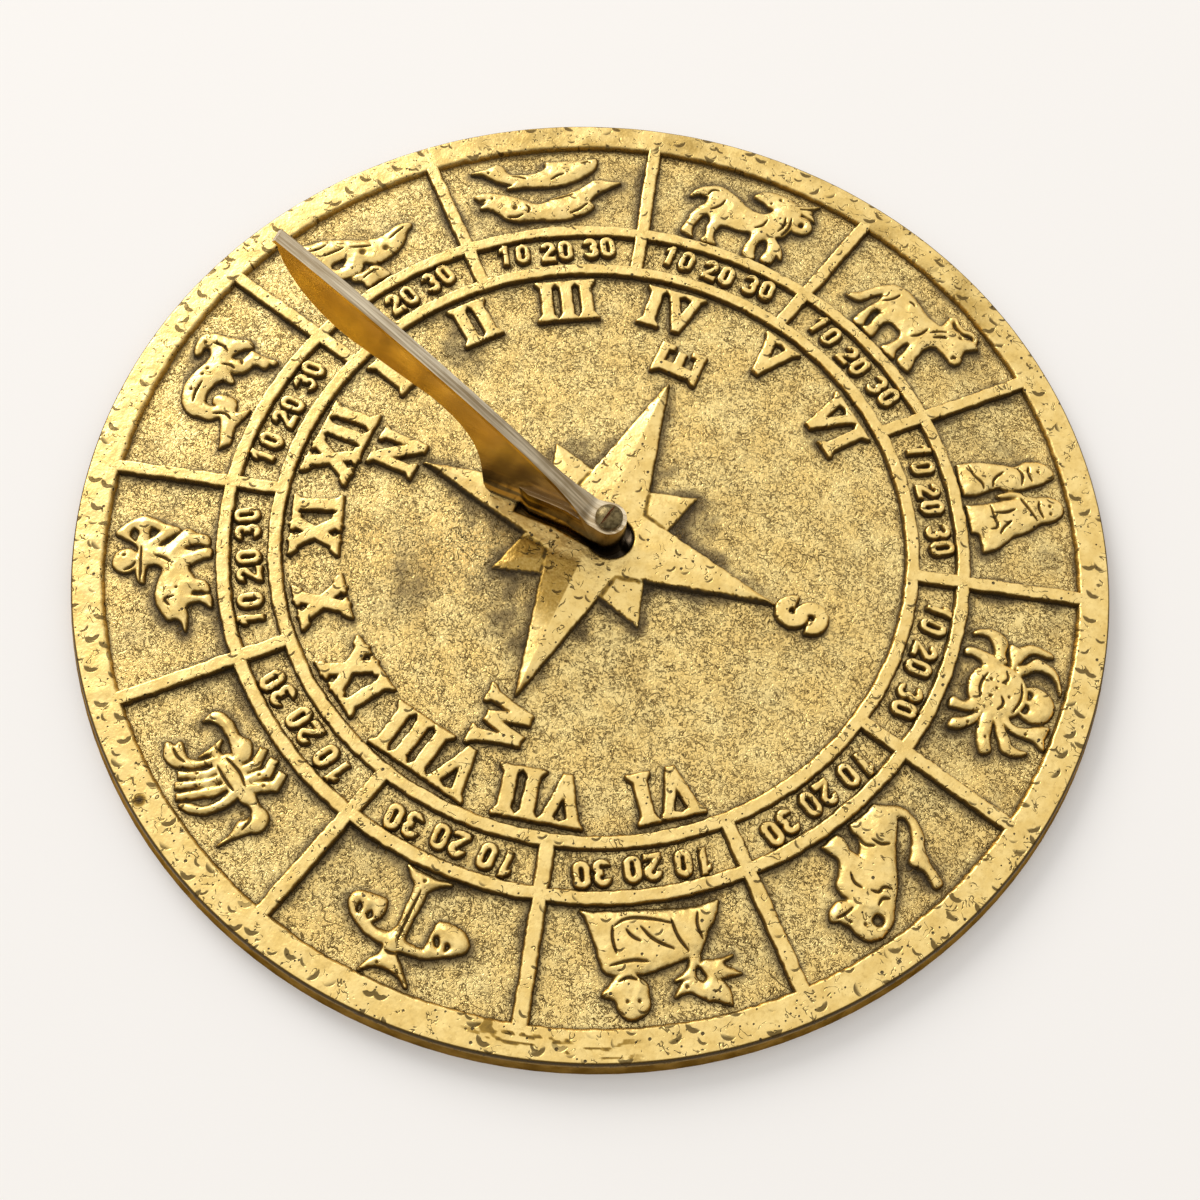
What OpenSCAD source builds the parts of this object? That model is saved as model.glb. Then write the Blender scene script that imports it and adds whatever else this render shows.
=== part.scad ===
// Cast brass garden sundial: a round dial with a raised border, twelve zodiac
// reliefs, Roman hours, a compass star and a gnomon held by one slotted screw.
// Millimetres. +Z up, +Y to the dial's north point, +X east. The origin is the
// centre of the underside. Azimuths run clockwise from north, seen from above.

/* [Plate] */
// Diameter of the dial at its foot
dial_diameter = 254; // [242:1:300]
// Height of the raised work above the table
rim_height = 5; // [4.6:0.1:8]
// How far the raised work stands above the field
relief = 1.6; // [0.8:0.1:2]
// Thickness of the plate between the field and the hollow back
web_thickness = 2.4; // [1.6:0.1:2.8]
// Width of the foot ring under the border
foot_ring_width = 7; // [4:0.5:12]
// Radius of the boss under the hub
boss_radius = 13; // [11:0.5:20]

/* [Border] */
// Width of the border's flat top
rim_width = 7; // [5:0.5:9]
// How much further out the side stands at the foot than at the top
side_flare = 1.4; // [0.5:0.1:3]
// Bevel along the border's outer top edge
rim_bevel = 0.4; // [0.2:0.1:0.8]

/* [Bands] */
// Width of the band that holds the zodiac figures
figure_band = 27; // [26:0.5:30]
// Width of the two raised rings
ring_width = 2.8; // [2:0.1:3.5]
// Width of the band that holds the degree numbers
number_band = 9.6; // [8:0.1:11]
// Width of the ribs between the sectors
rib_width = 3; // [2:0.1:4]
// Azimuth of the first rib
first_rib = 14.3; // [10:0.1:20]

/* [Numerals and letters] */
// Gap between the inner ring and the numerals
numeral_gap = 2.3; // [1:0.1:3]
// Height of the Roman numerals
numeral_height = 12; // [10:0.5:13]
// Width of a numeral's upright stroke
stroke_width = 2.9; // [2:0.1:3.4]
// Distance from one upright stroke to the next
stroke_pitch = 5.2; // [4.8:0.1:5.4]
// Width of a numeral's V or X
wide_glyph = 9.4; // [8.5:0.1:9.8]
// Gap between the numerals and the compass letters
letter_gap = 2.3; // [1:0.1:3]
// Height of the compass letters
letter_height = 12; // [9:0.5:14]
// Stroke of the compass letters
letter_stroke = 2.7; // [2:0.1:3.2]
// Height of the degree numbers
number_height = 6; // [5:0.1:7]
// Stroke of the degree numbers
number_stroke = 1.2; // [0.8:0.1:1.5]

/* [Compass star] */
// Gap between the star's long rays and the compass letters
star_gap = 1.2; // [0.5:0.1:3]
// Distance of the star's inner corners from each axis
star_corner = 9; // [8:0.1:11]
// Radius of the short rays' tips
short_ray_tip = 26.6; // [22:0.1:30]
// How far along a long ray the short rays join it
short_ray_root = 15.6; // [13:0.1:18]
// How far the short rays stand above the field
short_ray_relief = 1.3; // [0.6:0.1:1.6]

/* [Gnomon] */
// Distance of the style's tip north of the centre
tip_north = 74; // [66:1:80]
// Height of the style's tip above the table
tip_height = 79.5; // [72:0.1:86]
// How far the style's edge bows above a straight line
style_bow = 2; // [0.5:0.1:4]
// Width of the style's flat edge
style_width = 3.1; // [2.8:0.1:4]
// Thickness of the style's flat edge
style_thickness = 1.2; // [0.8:0.1:2]
// Thickness of the blade under the style
blade_thickness = 2.4; // [2:0.1:2.8]
// Height of the foot's flat top above the table
foot_top = 14.2; // [12:0.1:15]
// How far the style starts north of the centre, and above the foot's flat top
style_north = 4; // [3.5:0.1:5]
style_rise = 3.1; // [2.5:0.1:3.5]
// Radius of the foot's round eye
eye_radius = 4.3; // [4:0.1:4.9]
// Width of the foot behind the eye
foot_width = 4.6; // [3.6:0.1:4.8]
// Distance of the foot's far end north of the centre
foot_north = 20; // [16:0.5:20.5]
// Clearance under the blade where it passes over the star
blade_clearance = 0.2; // [0.1:0.05:0.5]
// Clearance under the foot
foot_clearance = 0.1; // [0.05:0.05:0.3]
// Depth of the hub pocket below the field
pocket_depth = 0.8; // [0.4:0.1:1]
// Clearance round the foot's eye in the hub pocket
eye_clearance = 1.5; // [1:0.1:1.8]
// How far the pocket's round end is shifted south of the screw
pocket_shift = 0.8; // [0:0.1:1]
// Clearance beside the narrow part of the foot
pocket_clearance = 0.75; // [0.5:0.05:1.2]

/* [Screw] */
// Distance of the screw's axis south of the centre
screw_south = 3.1; // [2:0.1:4]
// Diameter of the screw's shank
shank_diameter = 4; // [3.5:0.1:4.5]
// Length of the shank below the head
shank_length = 13.7; // [13.2:0.1:14]
// Clearance round the shank in the foot's bore
bore_clearance = 0.075; // [0.02:0.005:0.1]
// Clearance round the shank in the hub's hole
thread_clearance = 0.05; // [0.02:0.01:0.1]
// Clearance under the head
head_clearance = 0.05; // [0.02:0.01:0.1]
// Diameter of the head
head_diameter = 6.6; // [6:0.1:7.5]
// Height of the head's straight side
head_side = 0.9; // [0.5:0.1:1.5]
// Height of the head's dome
head_dome = 1.2; // [0.6:0.1:1.8]
// Width of the screwdriver slot
slot_width = 0.9; // [0.6:0.1:1.2]
// Depth of the screwdriver slot
slot_depth = 1.2; // [0.6:0.1:1.6]
// Direction of the slot, counterclockwise from east
slot_angle = -12; // [-90:1:90]

/* [Hidden] */
$fn = 96;

// Colours: worn high spots, the grainy field, dark brass and the screw's steel
polished = [0.93, 0.78, 0.48];
grainy = [0.75, 0.61, 0.36];
amber = [0.72, 0.50, 0.14];
steel = [0.45, 0.38, 0.28];

// Heights
field = rim_height - relief;
back = field - web_thickness;
pocket_floor = field - pocket_depth;

// Radii, worked out from the edge inwards
foot_radius = dial_diameter / 2;
top_radius = foot_radius - side_flare;
rim_inner = top_radius - rim_width;
outer_ring_outside = rim_inner - figure_band;
outer_ring_inside = outer_ring_outside - ring_width;
inner_ring_outside = outer_ring_inside - number_band;
inner_ring_inside = inner_ring_outside - ring_width;
figure_radius = (rim_inner + outer_ring_outside) / 2;
number_radius = (outer_ring_inside + inner_ring_outside) / 2;
numeral_radius = inner_ring_inside - numeral_gap - numeral_height / 2;
letter_radius = numeral_radius - numeral_height / 2 - letter_gap - letter_height / 2;
ray_tip = letter_radius - letter_height / 2 - star_gap;

// The zodiac figures' points are given for a band 27 mm wide
figure_scale = figure_band / 27;

// One sector for each sign, with a rib between each two
sector_count = 12;
sector_angle = 360 / sector_count;

// Hour names and the azimuths at which they stand, from morning to evening
hours = ["VI", "VII", "VIII", "IX", "X", "XI", "XII", "I", "II", "III", "IV", "V", "VI"];
hour_azimuths = [-127, -103, -79.6, -58.1, -40.3, -22.4, -2.7, 16.6, 39, 60, 83.4, 107.8, 129];

// Serifs of the numerals and letters
serif_reach = 1.2;
serif_height = 0.9;
serif_bracket = 1;
// The outline steps drawn between two given points of a figure
curve_steps = 4;

function spline_point(a, b, c, d, t) =
  ((2 * b) + (c - a) * t + (2 * a - 5 * b + 4 * c - d) * t * t
  + (3 * b - a - 3 * c + d) * t * t * t) / 2;

// A smooth closed outline through the points; a point given twice is a corner
function smooth_outline(p) =
  let (m = len(p))
  [for (i = [0:m - 1])
    if (norm(p[(i + 1) % m] - p[i]) > 0.01)
      for (k = [0:curve_steps - 1])
        spline_point(p[(i + m - 1) % m], p[i], p[(i + 1) % m], p[(i + 2) % m], k / curve_steps)];

function bezier(a, b, c, d, steps) =
  [for (k = [0:steps])
    let (t = k / steps, s = 1 - t)
    s * s * s * a + 3 * s * s * t * b + 3 * s * t * t * c + t * t * t * d];

function radius_at(z) = foot_radius - side_flare * z / rim_height;

module at_azimuth(azimuth, radius) {
  rotate([0, 0, -azimuth])
    translate([0, radius, 0])
      children();
}

module raised(height = relief) {
  translate([0, 0, field])
    linear_extrude(height = height)
      children();
}

// A prism that cuts through the raised work
module through_relief() {
  translate([0, 0, field - 1])
    linear_extrude(height = relief + 2)
      children();
}

// A rectangle with two round ends
module stadium(width, height) {
  square([width, height - width], center = true);
  for (side = [-1, 1])
    translate([0, side * (height - width) / 2])
      circle(d = width);
}

module strip(from, to, width_from, width_to) {
  d = (to - from) / norm(to - from);
  n = [-d[1], d[0]];
  polygon([from - n * width_from / 2, to - n * width_to / 2,
    to + n * width_to / 2, from + n * width_from / 2]);
}

// The hub pocket in plan: round about the eye, narrowing northwards
module pocket_outline() {
  translate([0, -screw_south - pocket_shift])
    circle(r = eye_radius + eye_clearance);
  half = foot_width / 2 + pocket_clearance + 0.2;
  eye_half = eye_radius + pocket_clearance;
  polygon([[-eye_half, -screw_south], [eye_half, -screw_south], [half, 10],
    [half, foot_north + 2.5], [-half, foot_north + 2.5], [-half, 10]]);
}

module dial_plate() {
  color(grainy)
    difference() {
      rotate_extrude()
        polygon([[0, 0], [boss_radius, 0], [boss_radius, back],
          [foot_radius - foot_ring_width, back], [foot_radius - foot_ring_width, 0],
          [foot_radius, 0], [radius_at(field), field], [0, field]]);
      translate([0, 0, pocket_floor])
        linear_extrude(height = pocket_depth + 1)
          pocket_outline();
      translate([0, -screw_south, -1])
        cylinder(d = shank_diameter + 2 * thread_clearance, h = pocket_floor + 2);
    }
}

module rim_band() {
  color(polished)
    rotate_extrude()
      polygon([[rim_inner, field], [radius_at(field), field],
        [radius_at(rim_height - rim_bevel), rim_height - rim_bevel],
        [top_radius - rim_bevel, rim_height], [rim_inner, rim_height]]);
}

module flat_ring(outside) {
  color(polished)
    raised()
      difference() {
        circle(r = outside);
        circle(r = outside - ring_width);
      }
}

module outer_ring() {
  flat_ring(outer_ring_outside);
}

module inner_ring() {
  flat_ring(inner_ring_outside);
}

// The ribs of one band, ending on the round edges on both sides of it
module ribs(inside, outside) {
  color(polished)
    intersection() {
      raised()
        for (i = [0:sector_count - 1])
          at_azimuth(first_rib + i * sector_angle, (inside + outside) / 2)
            square([rib_width, outside - inside + 2], center = true);
      raised()
        difference() {
          circle(r = outside);
          circle(r = inside);
        }
    }
}

module figure_ribs() {
  ribs(outer_ring_outside, rim_inner);
}

module number_ribs() {
  ribs(inner_ring_outside, outer_ring_inside);
}

// The outline of an upright stroke with a serif at each end, clockwise from
// the lower left
function stroke_outline(width, height) =
  let (w = width / 2, r = w + serif_reach, h = height / 2,
    low = serif_height / 2, high = serif_height + serif_bracket)
  [[-r, -h], [-r, low - h], [-w, high - h], [-w, h - high], [-r, h - low], [-r, h],
    [r, h], [r, h - low], [w, h - high], [w, high - h], [r, low - h], [r, -h]];

module upright(width, height) {
  raised()
    polygon(stroke_outline(width, height));
}

module bar(from, to, width_from, width_to) {
  raised()
    strip(from, to, width_from, width_to);
}

// One serif on the line Y = 0, its stroke above it
module serif(width) {
  raised()
    polygon([[-width / 2 - serif_reach, 0], [width / 2 + serif_reach, 0],
      [width / 2 + serif_reach, serif_height / 2], [width / 2, serif_height + serif_bracket],
      [-width / 2, serif_height + serif_bracket], [-width / 2 - serif_reach, serif_height / 2]]);
}

module glyph_v(height) {
  half = wide_glyph / 2;
  reach = half + serif_reach / 2;
  point = 0.9;
  raised()
    difference() {
      polygon([[-reach, height / 2], [reach, height / 2], [reach, (height - serif_height) / 2],
        [half - 0.6, height / 2 - serif_height - 0.8], [point, -height / 2], [-point, -height / 2],
        [0.6 - half, height / 2 - serif_height - 0.8], [-reach, (height - serif_height) / 2]]);
      polygon([[-half + stroke_width, height / 2 - 1.6], [0, height / 2 - 0.8],
        [half - stroke_width, height / 2 - 1.6], [0, -0.8]]);
    }
}

module glyph_x(height) {
  half = (wide_glyph - stroke_width) / 2;
  for (side = [-1, 1])
    bar([side * half, height / 2 - 0.2], [-side * half, 0.2 - height / 2],
      stroke_width - 0.2, stroke_width - 0.2);
  for (side = [-1, 1])
    for (flip = [0, 1])
      mirror([0, flip])
        translate([side * half, -height / 2])
          serif(stroke_width);
}

function advance(glyph) = glyph == "I" ? stroke_pitch : wide_glyph + stroke_pitch - stroke_width - 1.6;
function span(name, n) = n == 0 ? 0 : advance(name[n - 1]) + span(name, n - 1);

module roman_numeral(name) {
  full = span(name, len(name));
  for (i = [0:len(name) - 1])
    translate([span(name, i) + advance(name[i]) / 2 - full / 2, 0])
      if (name[i] == "I") upright(stroke_width, numeral_height);
      else if (name[i] == "V") glyph_v(numeral_height);
      else glyph_x(numeral_height);
}

module hour_numerals() {
  color(polished)
    for (i = [0:len(hours) - 1])
      at_azimuth(hour_azimuths[i], numeral_radius)
        roman_numeral(hours[i]);
}

number_width = number_height * 0.6;

module digit_zero() {
  difference() {
    stadium(number_width, number_height);
    stadium(number_width - 2 * number_stroke, number_height - 2 * number_stroke);
  }
}

module digit_one() {
  square([number_stroke, number_height], center = true);
  translate([0, number_height / 2])
    polygon([[0, 0], [-number_stroke * 1.2, -number_stroke], [-number_stroke * 1.2, -number_stroke * 1.8],
      [0, -number_stroke]]);
}

module digit_two() {
  bowl = number_width / 2;
  translate([0, number_height / 2 - bowl])
    difference() {
      circle(r = bowl);
      circle(r = bowl - number_stroke);
      polygon([[-bowl - 1, -bowl - 1], [bowl, -bowl - 1], [0, 0], [-bowl - 1, 0]]);
    }
  polygon([[-bowl, number_stroke - number_height / 2], [-bowl, -number_height / 2],
    [bowl, number_height / 2 - bowl - number_stroke / 2], [bowl, number_height / 2 - bowl],
    [bowl - number_stroke, number_height / 2 - bowl]]);
  translate([-bowl, -number_height / 2])
    square([number_width, number_stroke]);
}

module digit_three() {
  bowl = (number_height + number_stroke) / 4;
  for (side = [-1, 1])
    translate([0, side * (bowl - number_stroke / 2)])
      difference() {
        circle(r = bowl);
        circle(r = bowl - number_stroke);
        mirror([0, side < 0 ? 1 : 0])
          translate([-bowl - 1, -bowl - 1])
            square([bowl + 1, bowl + 1.4]);
      }
}

module digit(value) {
  if (value == 0) digit_zero();
  else if (value == 1) digit_one();
  else if (value == 2) digit_two();
  else digit_three();
}

// Each sector counts its thirty degrees in tens
module degree_numbers() {
  pitch = number_width + 1;
  group = 2 * pitch + 2.2;
  color(polished)
    raised()
      for (i = [0:sector_count - 1])
        at_azimuth(first_rib + (i + 0.5) * sector_angle, number_radius)
          for (tens = [1:3])
            translate([(tens - 2) * group, 0]) {
              translate([-pitch / 2, 0])
                digit(tens);
              translate([pitch / 2, 0])
                digit_zero();
            }
}

module long_rays() {
  polygon([for (i = [0:3]) for (corner = [0, 1])
    corner == 0
      ? [ray_tip * sin(90 * i), ray_tip * cos(90 * i)]
      : star_corner * sqrt(2) * [sin(90 * i + 45), cos(90 * i + 45)]]);
}

// Where a short ray joins the edge of a long one
ray_join = star_corner * (ray_tip - short_ray_root) / (ray_tip - star_corner);

module compass_star() {
  tip = short_ray_tip / sqrt(2);
  color(polished)
    difference() {
      union() {
        raised()
          long_rays();
        raised(short_ray_relief)
          for (i = [0:3])
            rotate([0, 0, 90 * i])
              polygon([[0, 0], [short_ray_root, ray_join], [tip, tip], [ray_join, short_ray_root]]);
      }
      through_relief()
        pocket_outline();
    }
}

module letter_n() {
  half = letter_height * 0.29;
  for (side = [-1, 1])
    translate([side * half, 0])
      raised()
        square([letter_stroke * 0.85, letter_height], center = true);
  bar([-half, letter_height / 2 - letter_stroke * 0.4], [half, letter_stroke * 0.4 - letter_height / 2],
    letter_stroke, letter_stroke);
  for (flip = [0, 1])
    mirror([0, flip])
      translate([-half, -letter_height / 2])
        serif(letter_stroke * 0.7);
  translate([half, letter_height / 2])
    mirror([0, 1])
      serif(letter_stroke * 0.7);
}

module letter_e() {
  width = letter_height * 0.66;
  arm = letter_stroke * 0.8;
  spur = letter_height * 0.3;
  translate([(letter_stroke - width) / 2, 0])
    upright(letter_stroke, letter_height);
  for (side = [-1, 0, 1])
    translate([-width / 2, side * (letter_height - arm) / 2 - arm / 2])
      raised()
        square([side == 0 ? width * 0.85 : width, arm]);
  for (side = [-1, 1])
    translate([width / 2 - 0.6, side * (letter_height - spur) / 2])
      raised()
        square([1.6, spur], center = true);
}

// Two open bowls; the lower one is the upper one turned round
module letter_s() {
  bowl = (letter_height + letter_stroke) / 4;
  for (turn = [0, 180])
    rotate([0, 0, turn])
      translate([0, bowl - letter_stroke / 2])
        raised()
          difference() {
            circle(r = bowl * 1.1);
            circle(r = bowl - letter_stroke);
            translate([0, -bowl * 1.2])
              square([bowl * 1.3, bowl * 1.2]);
          }
}

module letter_w() {
  half = letter_height * 0.46;
  foot = letter_height / 2;
  low = 0.4 - foot;
  for (side = [-1, 1]) {
    bar([side * half, foot - 0.2], [side * half * 0.52, low], letter_stroke, letter_stroke * 0.8);
    bar([side * half * 0.52, low], [side * half * 0.04, foot - 2], letter_stroke, letter_stroke * 0.8);
    translate([side * half, foot])
      mirror([0, 1])
        serif(letter_stroke * 0.8);
  }
}

module compass_letters() {
  color(polished) {
    translate([0, letter_radius])
      letter_n();
    translate([letter_radius, 0])
      letter_e();
    translate([0, -letter_radius])
      letter_s();
    translate([-letter_radius, 0])
      letter_w();
  }
}

// Places a relief in its sector: x runs clockwise and y outwards from the
// middle of the figure band
module relief_in(sector) {
  color(polished)
    at_azimuth(first_rib + (sector + 0.5) * sector_angle, figure_radius)
      children();
}

module shape(points) {
  raised()
    polygon(figure_scale * smooth_outline(points));
}

module disc(centre, radius) {
  translate(figure_scale * centre)
    raised()
      circle(r = figure_scale * radius);
}

module limb(from, to, width_from, width_to) {
  bar(figure_scale * from, figure_scale * to, figure_scale * width_from, figure_scale * width_to);
}

module hollow(points) {
  through_relief()
    polygon(figure_scale * smooth_outline(points));
}

module hole(centre, radius) {
  translate(figure_scale * centre)
    through_relief()
      circle(r = figure_scale * radius);
}

// A reclining water bearer who pours from a jar
module aquarius() {
  relief_in(0) {
    difference() {
      shape([[-13.5, 8.6], [-9.4, 7.5], [-7, 7], [-4.5, 5.7], [-1.5, 3.6], [0.8, 1.8], [3.3, 0.1],
        [6.3, -0.9], [9.2, -0.9], [11.7, -0.4], [14.5, -0.9], [15.7, -2.3], [13.5, -3.2], [11.3, -5.4],
        [8.5, -6.8], [4.9, -7.6], [1, -7.3], [-1.2, -5.2], [-3.2, -6.6], [-5, -7.2], [-9, -6.2],
        [-12.5, -4.5], [-14.5, -1], [-14.8, 4]]);
      hollow([[-9.3, -1.2], [-7.6, -0.6], [-4.8, -1.6], [-5.6, -2.8], [-7.8, -3.4], [-9.2, -2.6]]);
    }
    shape([[-6, -7.4], [-3, -7.8], [-0.2, -7.6], [1.5, -8.8], [1.9, -10.6], [1.8, -12.2], [-1.5, -12],
      [-4.6, -12.4], [-4.9, -10.2], [-6.8, -8.4]]);
  }
}

// Two fish, one above the other
module pisces() {
  relief_in(1) {
    shape([[-20, 7.2], [-16.4, 8], [-13, 9.6], [-13, 9.6], [-11.6, 8.4], [-10.6, 6.4], [-8.4, 5.4],
      [-4, 5.3], [-1, 6.2], [0.2, 7.4], [0.4, 8.9], [5, 8.9], [10, 8.6], [14.4, 9], [14.4, 9],
      [14.2, 7.2], [12.6, 4.8], [9, 2.7], [5, 1.3], [0, 0.9], [-5, 1.2], [-10.8, 1.2], [-10.8, 1.2],
      [-9.3, 2.2], [-12.8, 3.4], [-15.3, 5.1], [-17.6, 6.6]]);
    shape([[-19.8, -0.8], [-17.2, 0], [-14.8, -0.2], [-11.8, -1.2], [-8.7, -2.4], [-6, -3.8],
      [-3.2, -4.8], [-0.2, -4.3], [0.6, -3.6], [3.4, -2.8], [6.6, -2], [9.2, -0.6], [11.4, 0.8],
      [13, 1.6], [16, 1], [19.8, 0.2], [19.8, 0.2], [17.8, -0.7], [14.9, -1.9], [12.2, -3.6],
      [10.8, -5.2], [11.7, -6.9], [9.8, -8.6], [6, -10.1], [0.4, -10.4], [-4.4, -9.8], [-9.2, -9.9],
      [-12.4, -8.7], [-14.2, -6.8], [-16.8, -4.9], [-18.6, -4.7], [-17.4, -3.2], [-19, -2.4]]);
  }
}

// A ram that walks clockwise and looks back
module aries() {
  relief_in(2) {
    difference() {
      union() {
        shape([[-16.2, 0.2], [-15.1, 2.8], [-12.8, 5], [-9.2, 6.2], [-5.1, 4.9], [-1.9, 3.2],
          [1.3, 2.1], [3.8, 2.1], [5.4, 3.1], [6.3, 4.5], [4.7, 5.1], [3.1, 6], [1.4, 6.4], [0.1, 6.9],
          [0.8, 8.3], [2.6, 9.6], [5.8, 10.1], [9.9, 9.7], [13.4, 7.6], [13.4, 4], [12.5, 0.4],
          [11.4, -2.6], [9.6, -3.9], [11.4, -5.6], [12.9, -7.8], [13.4, -9.9], [12, -9.2],
          [11.7, -10.6], [11.1, -12.4], [9, -12.3], [8.6, -10.8], [9.2, -9], [8.9, -7.2], [7.9, -5.4],
          [6.6, -6], [5.7, -7.8], [6, -10.4], [6.6, -12.6], [3.8, -12.4], [3.3, -10], [3.5, -7.6],
          [3.1, -4.8], [0.4, -5.4], [-4.4, -5.6], [-5.8, -7.4], [-6.2, -9.2], [-5.4, -11], [-4.4, -12.5],
          [-8.1, -12.6], [-7.7, -10.4], [-8.3, -7.8], [-8.4, -5.6], [-9.4, -4.1], [-10.6, -4.6],
          [-11.5, -6.9], [-11.9, -9.5], [-11.5, -11.4], [-11, -12.6], [-14, -11.9], [-14.2, -10.4],
          [-13.8, -7.7], [-13.6, -4.8], [-12.6, -2.2], [-11.6, -0.6], [-11.8, 1.6], [-14.4, 1.4]]);
        shape([[11.4, 8.2], [13.8, 9.2], [17.2, 10.8], [17.2, 10.8], [15.8, 8.7], [17.6, 5.6],
          [17.6, 5.6], [14.6, 6.4], [12.4, 6.8]]);
        disc([14.8, 2.8], 2.7);
      }
      hole([14.8, 2.8], 0.9);
    }
  }
}

// A bull that walks clockwise
module taurus() {
  relief_in(3) {
    difference() {
      shape([[-17, -8.4], [-15.3, -5.8], [-14.6, -3.1], [-13.5, 0.5], [-11.6, 3.5], [-8.7, 4.9],
        [-4.6, 4.9], [0.4, 4], [4.8, 4.4], [5.6, 5.4], [5.3, 7.5], [5.2, 9.2], [6.4, 9.9], [8.4, 9.1],
        [10.2, 9.1], [11.8, 10.2], [14, 9.9], [15, 8.4], [16.3, 7.7], [15.5, 5.9], [14.8, 4.8],
        [15.3, 3.2], [16.6, 1.1], [15.8, -0.7], [13.1, -0.6], [10.1, -0.5], [8.8, -1.1], [7.9, -3.2],
        [8.1, -5.2], [9, -8], [10.3, -10.8], [10.2, -11.8], [6.5, -11.6], [5.9, -8.9], [4.9, -6],
        [3.8, -6.3], [3.5, -8], [3.9, -10.2], [5.2, -12.2], [1.2, -12.2], [1.7, -9.2], [1.4, -6.4],
        [0.4, -5], [-3.3, -5], [-4.3, -6.2], [-4.2, -9.2], [-3.2, -12.1], [-6.6, -12.2], [-6.1, -10.4],
        [-6.9, -7.7], [-7.3, -5.2], [-8.3, -5.2], [-9, -6.8], [-8.5, -9.2], [-7.3, -12], [-9.5, -12.5],
        [-10.3, -10.2], [-10.5, -6], [-10.3, -3], [-11.3, -0.9], [-12.6, -3.2], [-13, -5.8],
        [-14.3, -7.8]]);
      hollow([[6.2, 8.7], [7.6, 7.1], [11, 7.3], [13.9, 8.3], [13.2, 9.2], [11.9, 9], [10.4, 8],
        [8, 8]]);
    }
  }
}

// Twins in long robes, side by side
module gemini() {
  relief_in(4) {
    shape([[-8.7, -12.2], [-8.7, -12.2], [-9, -8.6], [-8.5, -5], [-7.8, -1], [-6.9, 1.4], [-7, 3.2],
      [-7.6, 5], [-7.6, 7.6], [-6.5, 9.9], [-4.6, 11.4], [-3, 11.2], [-2.2, 9.6], [-1.4, 7.8],
      [-0.9, 5], [-0.5, 1.8], [-0.5, -1], [-1.5, -3.3], [-1, -6], [-0.3, -9.2], [-0.4, -12.2],
      [-0.4, -12.2], [-4, -12.4]]);
    shape([[2.6, -12.4], [2.6, -12.4], [2.8, -8], [2.5, -4], [2.2, 0], [1.8, 0.6], [1.5, -0.4],
      [1.4, -3], [0.7, -3.9], [0.2, -1], [0.7, 1.8], [2, 4.2], [2.4, 6], [2.6, 8.4], [4, 10.9],
      [6, 11.6], [8.1, 10.3], [9.2, 7.8], [9.4, 5.2], [10.6, 2.4], [11.7, -0.4], [12.2, -2.7],
      [13.8, -5.5], [15.1, -7.8], [15.6, -10.9], [15.6, -10.9], [12.6, -10.6], [10.6, -10.9],
      [9.9, -12.5], [9.9, -12.5], [6, -12.4]]);
  }
}

// A crab seen from above, its claws raised
module cancer() {
  relief_in(5) {
    disc([0.3, -2], 6.9);
    difference() {
      disc([0.3, 7], 4.4);
      for (side = [-1, 1])
        hole([0.3 + side * 1.8, 5], 1.3);
    }
    shape([[-4.7, 11.9], [-7.8, 10.8], [-10.1, 9], [-11, 6], [-11.1, 4.1], [-8.6, 2.2], [-7.2, 0.2],
      [-5.2, 1.6], [-6.6, 2.8], [-8.2, 4.4], [-8.8, 6], [-8.6, 8.4], [-6.8, 10.6]]);
    shape([[-13.8, 7.2], [-12.8, 7], [-12.7, 3.4], [-11.4, 2], [-8.4, 0.6], [-5.8, -0.4],
      [-8.6, -1.4], [-12.2, -2.4], [-12.4, -0.6], [-13.4, 1.2], [-14.3, 3]]);
    shape([[-7.4, -2.2], [-9.2, -3], [-12.4, -3.5], [-14, -5.5], [-14.1, -8.2], [-12.6, -11.1],
      [-11.5, -11.3], [-12.4, -8.8], [-11.4, -6.8], [-9.1, -5.3], [-6.2, -4.6]]);
    shape([[-5.8, -4.2], [-7.6, -4.4], [-8.1, -7.2], [-8.3, -10], [-7.6, -11.9], [-5.9, -12],
      [-6.3, -10], [-5.6, -7.8], [-4, -5.8]]);
    shape([[4.6, 11.6], [5.3, 9.2], [6.8, 6.6], [7, 4.2], [6.3, 2.6], [5, 1.6], [6.8, 0.8],
      [8.6, 3.4], [9, 6], [9, 9.2], [10.2, 11.8], [7.6, 11.2]]);
    shape([[6.2, 0.2], [9.9, 3], [12.4, 5.4], [12.3, 8.5], [13.6, 7.6], [14.4, 5.4], [14, 2.9],
      [11.7, 1.6], [9, 0], [6.6, -1.4]]);
    shape([[6.2, -2], [8.4, -1], [12.2, -0.5], [15.2, 0.6], [16.4, -1.4], [13.1, -3.3], [10, -3.8],
      [7, -3.8]]);
    shape([[6, -4], [9, -4.4], [11, -6], [12.7, -7.8], [13.2, -10], [11, -9.8], [9.8, -7.5],
      [8, -5.8]]);
    shape([[5, -4.8], [7, -5.4], [7.6, -7.3], [7.9, -10], [8.2, -11.5], [5.9, -11.4], [6, -9.1],
      [4.8, -7.3], [3.4, -6.2]]);
  }
}

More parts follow.
